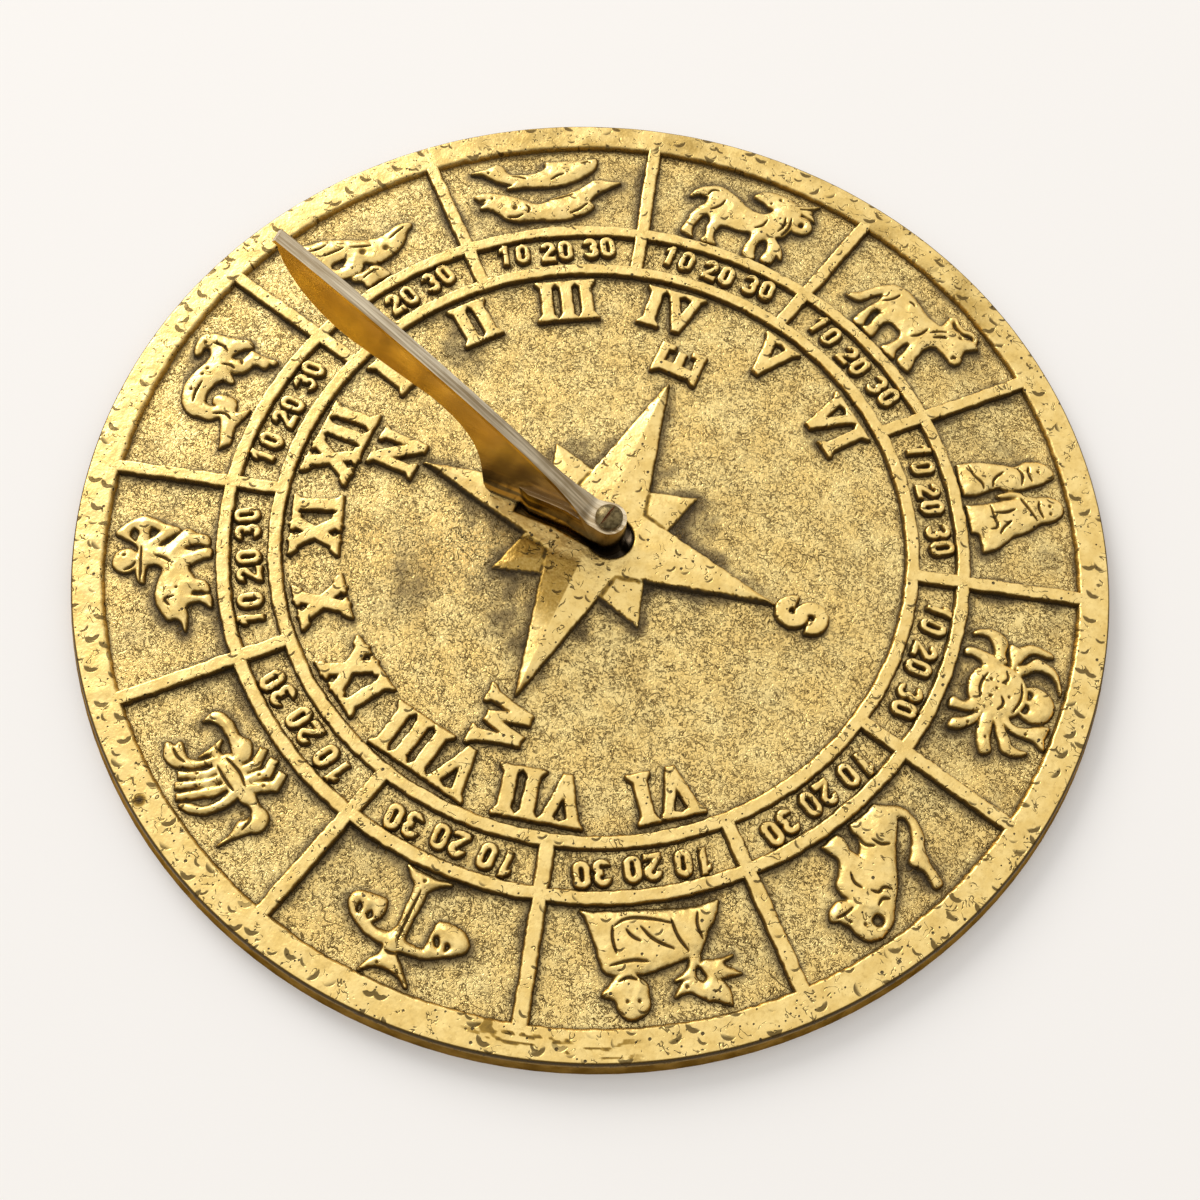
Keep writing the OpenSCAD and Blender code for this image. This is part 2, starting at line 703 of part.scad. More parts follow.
// A seated lion that looks clockwise
module leo() {
  relief_in(6) {
    difference() {
      shape([[-14.4, -4.2], [-13.5, -0.5], [-11.6, 2], [-10.4, 5], [-10, 8.1], [-9.5, 10.2],
        [-7.7, 10.2], [-8.1, 7.8], [-8.2, 5.9], [-7, 3], [-8.5, 1.4], [-10.4, -0.5], [-12.3, -2.9],
        [-13, -5.4], [-11.6, -6.9], [-10, -5.6], [-7.8, -3.4], [-5.1, -0.5], [-3.5, 1.8], [-1.5, 4.1],
        [0.8, 6.1], [3.1, 8.2], [5.1, 10], [7.6, 10.9], [9.7, 11.2], [12, 9.9], [13.1, 7.4],
        [13.3, 5.4], [14.2, 3.1], [15.7, 1.8], [14.5, 0.2], [12, -0.2], [9.8, 0.6], [9.9, -1.4],
        [9.6, -3.4], [8.1, -4.5], [6.2, -6.3], [5.6, -8.4], [6.6, -11.8], [6.6, -11.8], [2.4, -12],
        [2.4, -12], [1.7, -10.4], [2.2, -8.1], [1.6, -5.7], [0.3, -5.9], [-1.4, -8.2], [-1.3, -10.4],
        [-1.9, -11.9], [-1.9, -11.9], [-5.5, -11.8], [-9.4, -12.5], [-9.4, -12.5], [-10.9, -10.6],
        [-13, -9.1], [-14.4, -6.9]]);
      hole([7.4, 8], 1.5);
    }
  }
}

// A maiden in a wide robe who holds a flower
module virgo() {
  relief_in(7) {
    shape([[-9.2, -0.8], [-10.4, -2], [-12.1, -5.4], [-14.2, -8.2], [-15.4, -12], [-15.4, -12],
      [-10.4, -11], [-4.2, -11.1], [1, -11.7], [6.3, -12], [11, -12.4], [14.9, -13.2], [14.9, -13.2],
      [13.8, -11.2], [12.9, -7.7], [12.2, -4.1], [11.7, -0.9], [11.2, 0.4], [9.2, 1.4], [5.8, 1.6],
      [2.6, 1.8], [-1.9, 0.9], [-5.5, -0.2], [-7.4, -0.4]]);
    shape([[2.7, 4.2], [2.5, 7.8], [3.1, 9.6], [5.4, 11], [7.6, 10.7], [9.2, 8.7], [9.9, 6.6],
      [12.2, 5.4], [10.6, 3.8], [9.5, 2.6], [7.4, 0.8], [5.4, 0.8], [4.2, 2.4]]);
    difference() {
      union() {
        shape([[-15.1, 10.6], [-15.1, 10.6], [-11.5, 9.2], [-10, 9], [-9.4, 6.4], [-10.4, 4.8],
          [-13.6, 5.2], [-14.8, 7.4]]);
        shape([[-18.2, 4.3], [-18.2, 4.3], [-13, 5], [-9.8, 5.2], [-8.8, 2.4], [-10.4, 0.8], [-12.6, 1],
          [-16.8, 0.3], [-16.8, 0.3], [-14.4, 1.8]]);
        shape([[-9.7, 8.6], [-6.6, 6.9], [-3.2, 7.6], [-3.2, 7.6], [-4.2, 6], [-5.4, 4.8], [-9, 3.8],
          [-10.2, 5.6]]);
        shape([[-10.4, 5], [-7.6, 4.4], [-3.8, 4.2], [-3.8, 4.2], [-6.4, 2.5], [-7.4, 0.4],
          [-7.7, -1.4], [-9.4, -1.4], [-9.6, 1.4]]);
      }
      hollow([[-9.6, 5.3], [-8.4, 4.6], [-8.1, 3], [-8.9, 1.5], [-10, 2.6], [-10.7, 4.2]]);
    }
  }
}

// A pair of scales on a pillar
module libra() {
  relief_in(8) {
    difference() {
      shape([[-4.9, 11.8], [-4.9, 11.8], [-2.6, 10.4], [0.8, 9.8], [3.6, 10.2], [6, 12.2], [6, 12.2],
        [4.8, 9.6], [3.4, 7.8], [3.3, 5.6], [4.9, 5.3], [8.5, 4.4], [11.7, 2.8], [13.8, 0.9],
        [14.7, -0.9], [13.3, -3], [10.1, -3.5], [7.2, -3.5], [6.3, -1], [7.1, 0.9], [8, 2.5],
        [4.9, 3], [3.1, 2.3], [2.1, 0], [2.3, -3.2], [2.4, -6.4], [2.7, -9.1], [4.1, -10.5],
        [5.8, -12.4], [5.8, -12.4], [0.8, -11.9], [-4.6, -12.2], [-4.6, -12.2], [-1.6, -10.2],
        [-0.3, -8.6], [-0.3, -6.4], [0, -3.2], [0, 1.4], [-0.9, 3.1], [-5.1, 3.3], [-5.1, 3.3],
        [-5.3, 1.8], [-5.3, -0.9], [-5.8, -3.4], [-8.3, -3.9], [-11.5, -3.5], [-13.4, -2],
        [-13.7, -0.6], [-12.6, 0.9], [-9, 3.1], [-5.1, 4.8], [-0.1, 5.6], [-0.1, 6.6], [-2.5, 8.8]]);
      hollow([[-10.4, 0.4], [-9.6, 2], [-8.7, 0.5], [-9.4, -0.3]]);
      hollow([[-7.8, 1.8], [-6.4, 1], [-5.9, -0.4], [-7, -0.9], [-7.7, 0.3]]);
      hollow([[8, 0.8], [9, 1.9], [10, 0.7], [9, -0.6]]);
      hollow([[11, 0], [11.8, 1.6], [12.7, 0.2], [12.1, -1.2]]);
    }
  }
}

// A scorpion with raised claws, striped legs and a curled tail
module scorpio() {
  relief_in(9) {
    shape([[-4.9, 0], [-3.5, 0.9], [3.4, 0.7], [5, -0.9], [4.6, -3.4], [2.2, -4.7], [-2, -4.5],
      [-4.9, -3.2], [-6.2, -1.6]]);
    shape([[-12.3, 9.6], [-12.3, 9.6], [-12.8, 5.9], [-13.5, 3], [-14.9, 0.5], [-14.2, -2],
      [-12.4, -3], [-9.6, -2.7], [-5, -3.4], [-4.6, -0.6], [-6.9, -0.2], [-8.5, -1], [-10.3, -0.7],
      [-11.2, 0.9], [-10.6, 3], [-11.1, 4.2], [-11.9, 5.6]]);
    shape([[-5, -0.6], [-5.6, 2.6], [-5.3, 5.2], [-4.2, 8.2], [-1.9, 10.5], [0.6, 11.4], [-0.4, 9.6],
      [-2.4, 7.8], [-3.6, 5.2], [-3.6, 2.2], [-3, -0.4]]);
    limb([-2, 0], [-1, 4.2], 1.2, 2);
    limb([-1.2, 3.4], [2.7, 11], 2, 1.3);
    limb([0.6, 0], [1.4, 4.2], 1.2, 1.9);
    limb([1.2, 3.4], [5, 9.8], 1.9, 1.3);
    limb([2.8, 0], [3.4, 3.6], 1.2, 1.8);
    limb([3.2, 2.8], [6.9, 8], 1.8, 1.3);
    shape([[4.2, -1.6], [5, 1.2], [6.2, 4.4], [8, 6], [8.8, 7.4], [12, 8.2], [15, 6.3], [13.2, 5.2],
      [13.1, 3.7], [9.6, 4.5], [7.6, 3.4], [6.4, 1.4], [5.6, -1]]);
    shape([[7.7, 2], [7.7, 2], [7.1, 0], [4.6, -1], [4.8, -2.4], [6.4, -2.2], [8.3, -4], [8.3, -4],
      [8, -1.8]]);
    shape([[1.8, -4], [4.5, -4.8], [8.1, -5.7], [11.3, -5.9], [13.7, -4.9], [14.6, -3.3],
      [14.6, -3.3], [15, -5.8], [13.9, -7.4], [11, -8.3], [7.2, -7.9], [4, -9], [1.4, -7.6],
      [0.8, -5.4]]);
    limb([-5, -3], [-8.4, -8.4], 2.4, 2.2);
    limb([-8.4, -7.6], [-6.6, -11], 2, 1.6);
    limb([-3.2, -3.8], [-4.6, -8.4], 2.2, 2);
    limb([-4.8, -7.6], [-2.8, -11.2], 2, 1.6);
    limb([-0.6, -4], [-1.4, -7.4], 2, 1.9);
    limb([-1.6, -6.8], [0.8, -10.6], 1.9, 1.5);
  }
}

// A centaur who draws a bow
module sagittarius() {
  relief_in(10) {
    disc([4.7, 7.9], 3);
    difference() {
      shape([[-11.7, -1.8], [-9.6, -0.4], [-6.5, 0.9], [-3.8, 0.9], [-1, 0.1], [1.6, -0.7],
        [2.8, 0.8], [2.9, 3], [0.8, 3.8], [-1.5, 4], [-0.4, 5.2], [3, 5.4], [6.4, 5], [8.6, 5.2],
        [10.4, 7.8], [12.2, 10.2], [13.8, 8.8], [15.4, 6.1], [16.1, 3.6], [15.1, 0.9], [13.3, -1.8],
        [11.6, -4.8], [10.4, -3], [8.8, -0.4], [7.6, 0.4], [7.6, -1.4], [8.5, -3], [10.2, -4.9],
        [11.4, -6.8], [10, -9], [9, -11.7], [6.8, -11.6], [7.3, -9.4], [7.2, -7], [6.4, -6],
        [5.7, -8], [5.8, -11.8], [3.5, -12.2], [3.3, -10.4], [2.3, -7.8], [1.2, -6.8], [-1.8, -8.2],
        [-3, -10.7], [-5.5, -11.3], [-5, -9.4], [-5, -7.6], [-6, -7.4], [-6.6, -9.2], [-6.6, -11.5],
        [-9.5, -11.8], [-8, -9.8], [-8, -7.6], [-9, -6], [-12, -6.2], [-15.2, -5.7], [-15.2, -5.7],
        [-12.8, -4.9], [-11.8, -3.6]]);
      hollow([[9.3, 5.6], [9.3, 5.6], [11.7, 7.1], [13.7, 5.9], [13.7, 5.9], [11.7, 4.7]]);
      hollow([[9.7, 2.3], [11.5, 2.6], [13.3, 2.1], [13.3, 2.1], [12.6, 0.6], [11.6, -0.4]]);
    }
  }
}

// A goat whose body ends in a fish's curled tail
module capricorn() {
  relief_in(11) {
    shape([[5.6, 8.1], [7.1, 9.3], [9.8, 9.7], [12, 8.7], [13.1, 6.4], [13.4, 3], [14.2, 0],
      [14.6, -2.4], [13.4, -3.7], [12.1, -2.2], [10.1, -0.6], [8.4, -0.2], [8.1, -1.6], [9.2, -3.4],
      [12, -4.4], [11.8, -7], [11.8, -9.2], [12, -11.4], [10.9, -11.2], [10.7, -9.9], [9.1, -9.6],
      [9.2, -8], [8.6, -6.4], [6, -5.5], [4.9, -3.6], [4.3, -2.2], [2.3, -4], [1.6, -3.5],
      [1.7, -2], [0.8, -0.7], [-1, 0.2], [-3.5, 0.4], [-5.7, -0.4], [-6.4, -2.2], [-6, -3.8],
      [-5.2, -2.6], [-3.9, -2.1], [-2.6, -3.1], [-2.1, -5], [-2.4, -7.2], [-3.5, -8.2],
      [-5.4, -8.8], [-5.2, -10], [-3.6, -11.9], [-3.6, -11.9], [-6, -11.6], [-8.8, -10.8],
      [-11.8, -11.4], [-14.2, -11.8], [-16.3, -10.3], [-16.3, -10.3], [-13.2, -9], [-10, -7.5],
      [-8.4, -6.1], [-9.8, -4.1], [-10.3, -1.8], [-10.4, 0.9], [-9.4, 3.1], [-7.4, 4.9], [-4.7, 6],
      [-1.9, 6.3], [1.3, 5.7], [4, 4.9], [6.3, 4.7], [8, 5.4], [8.7, 6.6], [7.8, 7.5], [6.4, 7.5]]);
  }
}

// The gnomon in side view, its points as north and height above the table
style_start = [style_north, foot_top + style_rise];
style_tip = [tip_north, tip_height];
// The curve that leads from the foot's flat top up to the style
lead_start = [0.2, foot_top];
lead_pull = [1.6, foot_top];
lead_end_pull = [-1.5, -1.6];
// The blade's under edge: the nose and belly near the tip, then the straight
// edge down to the throat, then the throat's curve down to the foot
nose_pull = [0.8, -9.3];
belly_pull = [-4.5, -21.3];
belly_end = [-13.5, -27.9];
throat = [[41.5, 40.5], [34, 34.5], [30, 28], [29.8, 16]];
heel = [[29.6, 8.5], [29.1, 6.6]];
heel_inset = 1.9;

// The style's upper edge above its lead: an arc to the tip
function style_point(t) =
  let (chord = style_tip - style_start,
    length = norm(chord),
    radius = (length * length / 4 + style_bow * style_bow) / (2 * style_bow),
    half = asin(length / 2 / radius),
    turn = half * (2 * t - 1),
    along = length / 2 + radius * sin(turn),
    above = radius * (cos(turn) - cos(half)),
    u = chord / length,
    n = [-u[1], u[0]])
  style_start + u * along + n * above;

// Side views are drawn as north and height, and given their width along X
module side_plate(width) {
  rotate([90, 0, 90])
    linear_extrude(height = width, center = true)
      children();
}

style_steps = 16;
lead_steps = 6;
upper_edge = concat(
  bezier(lead_start, lead_pull, style_start + lead_end_pull, style_start, lead_steps),
  [for (k = [1:style_steps]) style_point(k / style_steps)]);

module style_band() {
  inner = [for (k = [len(upper_edge) - 1:-1:0])
    upper_edge[k] + style_thickness * [0.7, -0.7]];
  intersection() {
    side_plate(2 * eye_radius)
      polygon(concat(upper_edge, inner));
    translate([0, 0, foot_top - 4])
      linear_extrude(height = tip_height)
        polygon([[-eye_radius + 0.4, -screw_south], [eye_radius - 0.4, -screw_south],
          [style_width / 2 + 1.7, 3], [style_width / 2 + 0.9, 6], [style_width / 2 + 0.4, 10],
          [style_width / 2 + 0.1, 17], [style_width / 2, 26], [style_width / 2, tip_north + 5],
          [-style_width / 2, tip_north + 5], [-style_width / 2, 26], [-style_width / 2 - 0.1, 17],
          [-style_width / 2 - 0.4, 10], [-style_width / 2 - 0.9, 6], [-style_width / 2 - 1.7, 3]]);
  }
}

module blade() {
  under = rim_height + blade_clearance;
  side_plate(blade_thickness)
    polygon(concat(
      upper_edge,
      bezier(style_tip, style_tip + nose_pull, style_tip + belly_pull, style_tip + belly_end, 8),
      bezier(throat[0], throat[1], throat[2], throat[3], 8),
      heel,
      [[throat[3][0] - heel_inset, under], [lead_start[0], under]]));
}

module foot() {
  base = pocket_floor + foot_clearance;
  half = foot_width / 2;
  translate([0, 0, base])
    linear_extrude(height = foot_top - base) {
      translate([0, -screw_south])
        circle(r = eye_radius);
      polygon([[-eye_radius + 0.15, -screw_south + 1.1], [eye_radius - 0.15, -screw_south + 1.1],
        [half + 0.9, 3], [half + 0.2, 7], [half, 12], [half, foot_north - 3],
        [blade_thickness / 2, foot_north], [-blade_thickness / 2, foot_north],
        [-half, foot_north - 3], [-half, 12], [-half - 0.2, 7], [-half - 0.9, 3]]);
    }
}

module gnomon() {
  color(amber)
    difference() {
      union() {
        style_band();
        blade();
        foot();
      }
      translate([0, -screw_south, 0])
        cylinder(d = shank_diameter + 2 * bore_clearance, h = foot_top + 5);
    }
}

module gnomon_screw() {
  seat = foot_top + head_clearance;
  dome_radius = (head_diameter * head_diameter / 4 + head_dome * head_dome) / (2 * head_dome);
  color(steel)
    translate([0, -screw_south, seat])
      difference() {
        union() {
          cylinder(d = head_diameter, h = head_side);
          intersection() {
            translate([0, 0, head_side + head_dome - dome_radius])
              sphere(r = dome_radius);
            translate([0, 0, head_side / 2])
              cylinder(d = head_diameter, h = head_side + head_dome);
          }
          translate([0, 0, -shank_length])
            cylinder(d = shank_diameter, h = shank_length + head_side / 2);
        }
        rotate([0, 0, slot_angle])
          translate([-head_diameter, -slot_width / 2, head_side + head_dome - slot_depth])
            cube([2 * head_diameter, slot_width, slot_depth + 1]);
      }
}

dial_plate();
rim_band();
outer_ring();
inner_ring();
figure_ribs();
number_ribs();
hour_numerals();
degree_numbers();
compass_star();
compass_letters();
aquarius();
pisces();
aries();
taurus();
gemini();
cancer();
leo();
virgo();
libra();
scorpio();
sagittarius();
capricorn();
gnomon();
gnomon_screw();
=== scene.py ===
"""The looks of a cast brass sundial: worn relief, grainy patinated field, gnomon and screw."""
import math

import bmesh
import bpy
import numpy as np
from mathutils import Matrix, Vector


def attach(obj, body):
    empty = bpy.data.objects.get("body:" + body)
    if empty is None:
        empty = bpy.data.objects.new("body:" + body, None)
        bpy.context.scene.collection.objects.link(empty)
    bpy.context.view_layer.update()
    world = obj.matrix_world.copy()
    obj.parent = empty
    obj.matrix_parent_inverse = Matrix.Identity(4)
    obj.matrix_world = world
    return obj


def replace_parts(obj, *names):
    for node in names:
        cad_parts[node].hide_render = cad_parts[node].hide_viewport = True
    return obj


MM = 0.001
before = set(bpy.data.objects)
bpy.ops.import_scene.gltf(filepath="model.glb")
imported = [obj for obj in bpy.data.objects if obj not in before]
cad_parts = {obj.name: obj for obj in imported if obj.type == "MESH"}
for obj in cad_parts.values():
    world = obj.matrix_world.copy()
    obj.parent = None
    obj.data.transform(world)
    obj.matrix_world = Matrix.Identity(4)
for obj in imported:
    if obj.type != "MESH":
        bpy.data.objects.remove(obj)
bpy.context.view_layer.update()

# Sizes in millimetres, as in the part
FIELD = 3.4
TOP = 5.0
RELIEF = TOP - FIELD
FOOT_RADIUS = 127.0
TOP_RADIUS = 125.6
RIM_INNER = 118.6
OUTER_RING = (88.8, 91.6)
INNER_RING = (76.4, 79.2)
RIB_WIDTH = 3.0
FIGURE_RADIUS = 105.1
RAY_TIP = 46.6
STAR_CORNER = 9.0
SHORT_TIP = 26.6
SHORT_ROOT = 15.6
SCREW_SOUTH = 3.1

# Twelve sectors, from the first rib's azimuth on, in degrees
SECTORS = 12
SECTOR = 30
FIRST_RIB = 14.3

# The hub pocket: its round end, and a bar whose half width falls from wide to narrow
POCKET_SOUTH = 3.9
POCKET_RADIUS = 5.8
POCKET_WIDE = 5.05
POCKET_NARROW = 3.25
POCKET_TAPER_END = 10.0
POCKET_NORTH = 20.5
POCKET_FLOOR = 2.6

# A cast wall: how far its foot reaches out of the outline, and how far its top is rounded
SKIRT = 0.55
ROUNDING = 0.28
# Beyond its foot the mesh goes on for a hem, and sinks below the field over a short width
HEM = 0.15
SINK = 0.35
SINK_WIDTH = 0.3

# Camera: the photograph's view of the dial
AZIMUTH, ELEVATION, ROLL = (math.radians(a) for a in (-70.93, 65.83, 4.86))
AIM = Vector((-14.46, -7.57, 0)) * MM
CAMERA_DISTANCE = 0.369
FOCAL_LENGTH = 45.606
SENSOR_WIDTH = 36


def place_camera():
    """Sets the camera and gives its right and up directions."""
    right = Vector((math.cos(AZIMUTH), math.sin(AZIMUTH), 0))
    back = Vector((math.sin(AZIMUTH) * math.cos(ELEVATION),
                   -math.cos(AZIMUTH) * math.cos(ELEVATION), math.sin(ELEVATION)))
    up = back.cross(right)
    turned_right = math.cos(ROLL) * right + math.sin(ROLL) * up
    turned_up = math.cos(ROLL) * up - math.sin(ROLL) * right
    camera = bpy.data.cameras.new("camera")
    camera.lens = FOCAL_LENGTH
    camera.sensor_width = SENSOR_WIDTH
    camera.clip_start = 0.01
    holder = bpy.data.objects.new("camera", camera)
    bpy.context.scene.collection.objects.link(holder)
    turn = Matrix((turned_right, turned_up, back)).transposed().to_4x4()
    holder.matrix_world = Matrix.Translation(AIM + CAMERA_DISTANCE * back) @ turn
    bpy.context.scene.camera = holder
    return turned_right, turned_up


# Noise and distances
def noise(x, y, size, seed):
    """Smooth noise from -1 to 1 with features about size millimetres wide."""
    period = 64
    table = np.random.default_rng(seed).uniform(-1, 1, (period, period))
    u, v = x / size, y / size
    i, j = np.floor(u).astype(int), np.floor(v).astype(int)
    s, t = u - i, v - j
    s, t = s * s * (3 - 2 * s), t * t * (3 - 2 * t)
    i0, i1, j0, j1 = i % period, (i + 1) % period, j % period, (j + 1) % period
    low = table[i0, j0] * (1 - s) + table[i1, j0] * s
    high = table[i0, j1] * (1 - s) + table[i1, j1] * s
    return low * (1 - t) + high * t


def top_outline(node):
    """The edges round a node's flat top, in mm, as an array of pairs of points."""
    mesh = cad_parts[node].data
    mesh.calc_loop_triangles()
    points = np.array([v.co for v in mesh.vertices]) / MM
    triangles = np.array([t.vertices for t in mesh.loop_triangles])
    flat = points[triangles][:, :, 2].min(axis=1) > points[:, 2].max() - 0.01
    keys = [(round(float(p[0]), 2), round(float(p[1]), 2)) for p in points]
    edges = set()
    for triangle in triangles[flat]:
        for k in range(3):
            a, b = keys[triangle[k]], keys[triangle[(k + 1) % 3]]
            if a == b:
                continue
            if (b, a) in edges:
                edges.remove((b, a))
            else:
                edges.add((a, b))
    return np.array(sorted(edges))


def closed(points):
    """The edges of a closed outline."""
    points = np.array(points, float)
    return np.stack([points, np.roll(points, -1, axis=0)], axis=1)


class Grid:
    """A square grid over a box, with the signed distance to outlines, positive inside."""

    def __init__(self, low, high, step, reach=3.0):
        self.step = step
        self.reach = reach
        self.low = np.floor(np.array(low) / step) * step
        self.count = np.ceil((np.array(high) - self.low) / step).astype(int) + 1
        self.x = self.low[0] + step * np.arange(self.count[0])
        self.y = self.low[1] + step * np.arange(self.count[1])
        self.signed = np.full(self.count, -reach)

    def points(self):
        """The x and the y of every point."""
        return np.meshgrid(self.x, self.y, indexing="ij")

    def window(self, low, high):
        """The rows and columns that cover a box."""
        first = np.clip(np.floor((low - self.low) / self.step).astype(int), 0, self.count)
        last = np.clip(np.ceil((high - self.low) / self.step).astype(int) + 1, 0, self.count)
        return slice(first[0], last[0]), slice(first[1], last[1])

    def distance_to(self, edges):
        """The signed distance of every point to closed outlines, up to the grid's reach."""
        best = np.full(self.count, float(self.reach ** 2))
        inside = np.zeros(self.count, bool)
        for a, b in edges:
            d = b - a
            ix, iy = self.window(np.minimum(a, b) - self.reach, np.maximum(a, b) + self.reach)
            x, y = self.x[ix, None] - a[0], self.y[None, iy] - a[1]
            t = np.clip((x * d[0] + y * d[1]) / (d @ d), 0, 1)
            best[ix, iy] = np.minimum(best[ix, iy], (x - t * d[0]) ** 2 + (y - t * d[1]) ** 2)
            rows = np.nonzero((self.y > min(a[1], b[1])) & (self.y <= max(a[1], b[1])))[0]
            if len(rows) and d[1]:
                cross = a[0] + (self.y[rows] - a[1]) * d[0] / d[1]
                inside[:, rows] ^= self.x[:, None] < cross[None, :]
        return np.where(inside, 1.0, -1.0) * np.sqrt(best)

    def sample(self, x, y):
        """The stored distance at any points."""
        u = np.clip((x - self.low[0]) / self.step, 0, self.count[0] - 1.001)
        v = np.clip((y - self.low[1]) / self.step, 0, self.count[1] - 1.001)
        i, j = u.astype(int), v.astype(int)
        s, t = u - i, v - j
        g = self.signed
        return ((g[i, j] * (1 - s) + g[i + 1, j] * s) * (1 - t)
                + (g[i, j + 1] * (1 - s) + g[i + 1, j + 1] * s) * t)


# The distance to all raised work but the rings and the border, for the field's patina and painted
# shade
whole = Grid((-128, -128), (128, 128), 0.4)


def remember(edges):
    """Adds an outline to the whole dial's distances."""
    low, high = edges.min(axis=(0, 1)) - whole.reach, edges.max(axis=(0, 1)) + whole.reach
    ix, iy = whole.window(low, high)
    part = Grid((whole.x[ix][0], whole.y[iy][0]), (whole.x[ix][-1], whole.y[iy][-1]), whole.step)
    signed = part.distance_to(edges)[:ix.stop - ix.start, :iy.stop - iy.start]
    whole.signed[ix, iy] = np.maximum(whole.signed[ix, iy], signed)


def rib_azimuth(k):
    return math.radians(FIRST_RIB + SECTOR * k)


def directions(azimuth):
    """The directions outwards and clockwise at an azimuth."""
    return (np.array([math.sin(azimuth), math.cos(azimuth)]),
            np.array([math.cos(azimuth), -math.sin(azimuth)]))


def polar(radii, angles):
    """Radius, azimuth, x and y of each point of a polar grid."""
    r, a = np.meshgrid(radii, angles, indexing="ij")
    return r, a, r * np.sin(a), r * np.cos(a)


# Materials
PALE_GOLD = (1.0, 0.755, 0.30)
GOLD = (0.86, 0.605, 0.20)
DULL_GOLD = (0.60, 0.40, 0.12)
DEEP_GOLD = (0.40, 0.245, 0.05)
BROWN = (0.15, 0.092, 0.026)
SOOT_AND_SHADE = (0.085, 0.062, 0.034)
SCRATCH_AND_DENT_SHADE_BROWN = (0.10, 0.06, 0.018)
FIELD_GOLD = (0.92, 0.66, 0.235)
FIELD_PALE = (1.0, 0.78, 0.325)
GRAIN_BROWN = (0.24, 0.15, 0.045)
FIELD_SOOT_AND_SHADE = (0.155, 0.112, 0.056)
SIDE_BROWN = (0.20, 0.12, 0.035)
SIDE_BRONZE = (0.40, 0.25, 0.08)
SIDE_MIRROR = (0.6, 0.42, 0.2)
AMBER = (0.64, 0.35, 0.025)
LIGHT_AMBER = (0.96, 0.58, 0.06)
SHADE_AMBER = (0.085, 0.043, 0.007)
FOOT_SHADE_BROWN = (0.03, 0.017, 0.004)
REFLECTION_STREAK_AMBER = (0.62, 0.36, 0.05)
STYLE_DARK = (0.46, 0.34, 0.19)
STYLE_PALE = (1.0, 0.86, 0.62)
STYLE_STAIN = (0.36, 0.25, 0.12)
STYLE_LOW = (0.45, 0.32, 0.15)
STEEL_DARK = (0.09, 0.065, 0.028)
STEEL_LIGHT = (0.23, 0.175, 0.08)
POCKET_SHADE_BLACK = (0.03, 0.022, 0.014)
POCKET_GLINT_GREY = (0.09, 0.066, 0.04)
POCKET_BROWN = (0.26, 0.16, 0.05)
COPPER_DARK = (0.42, 0.13, 0.06)
COPPER_LIGHT = (0.60, 0.24, 0.13)


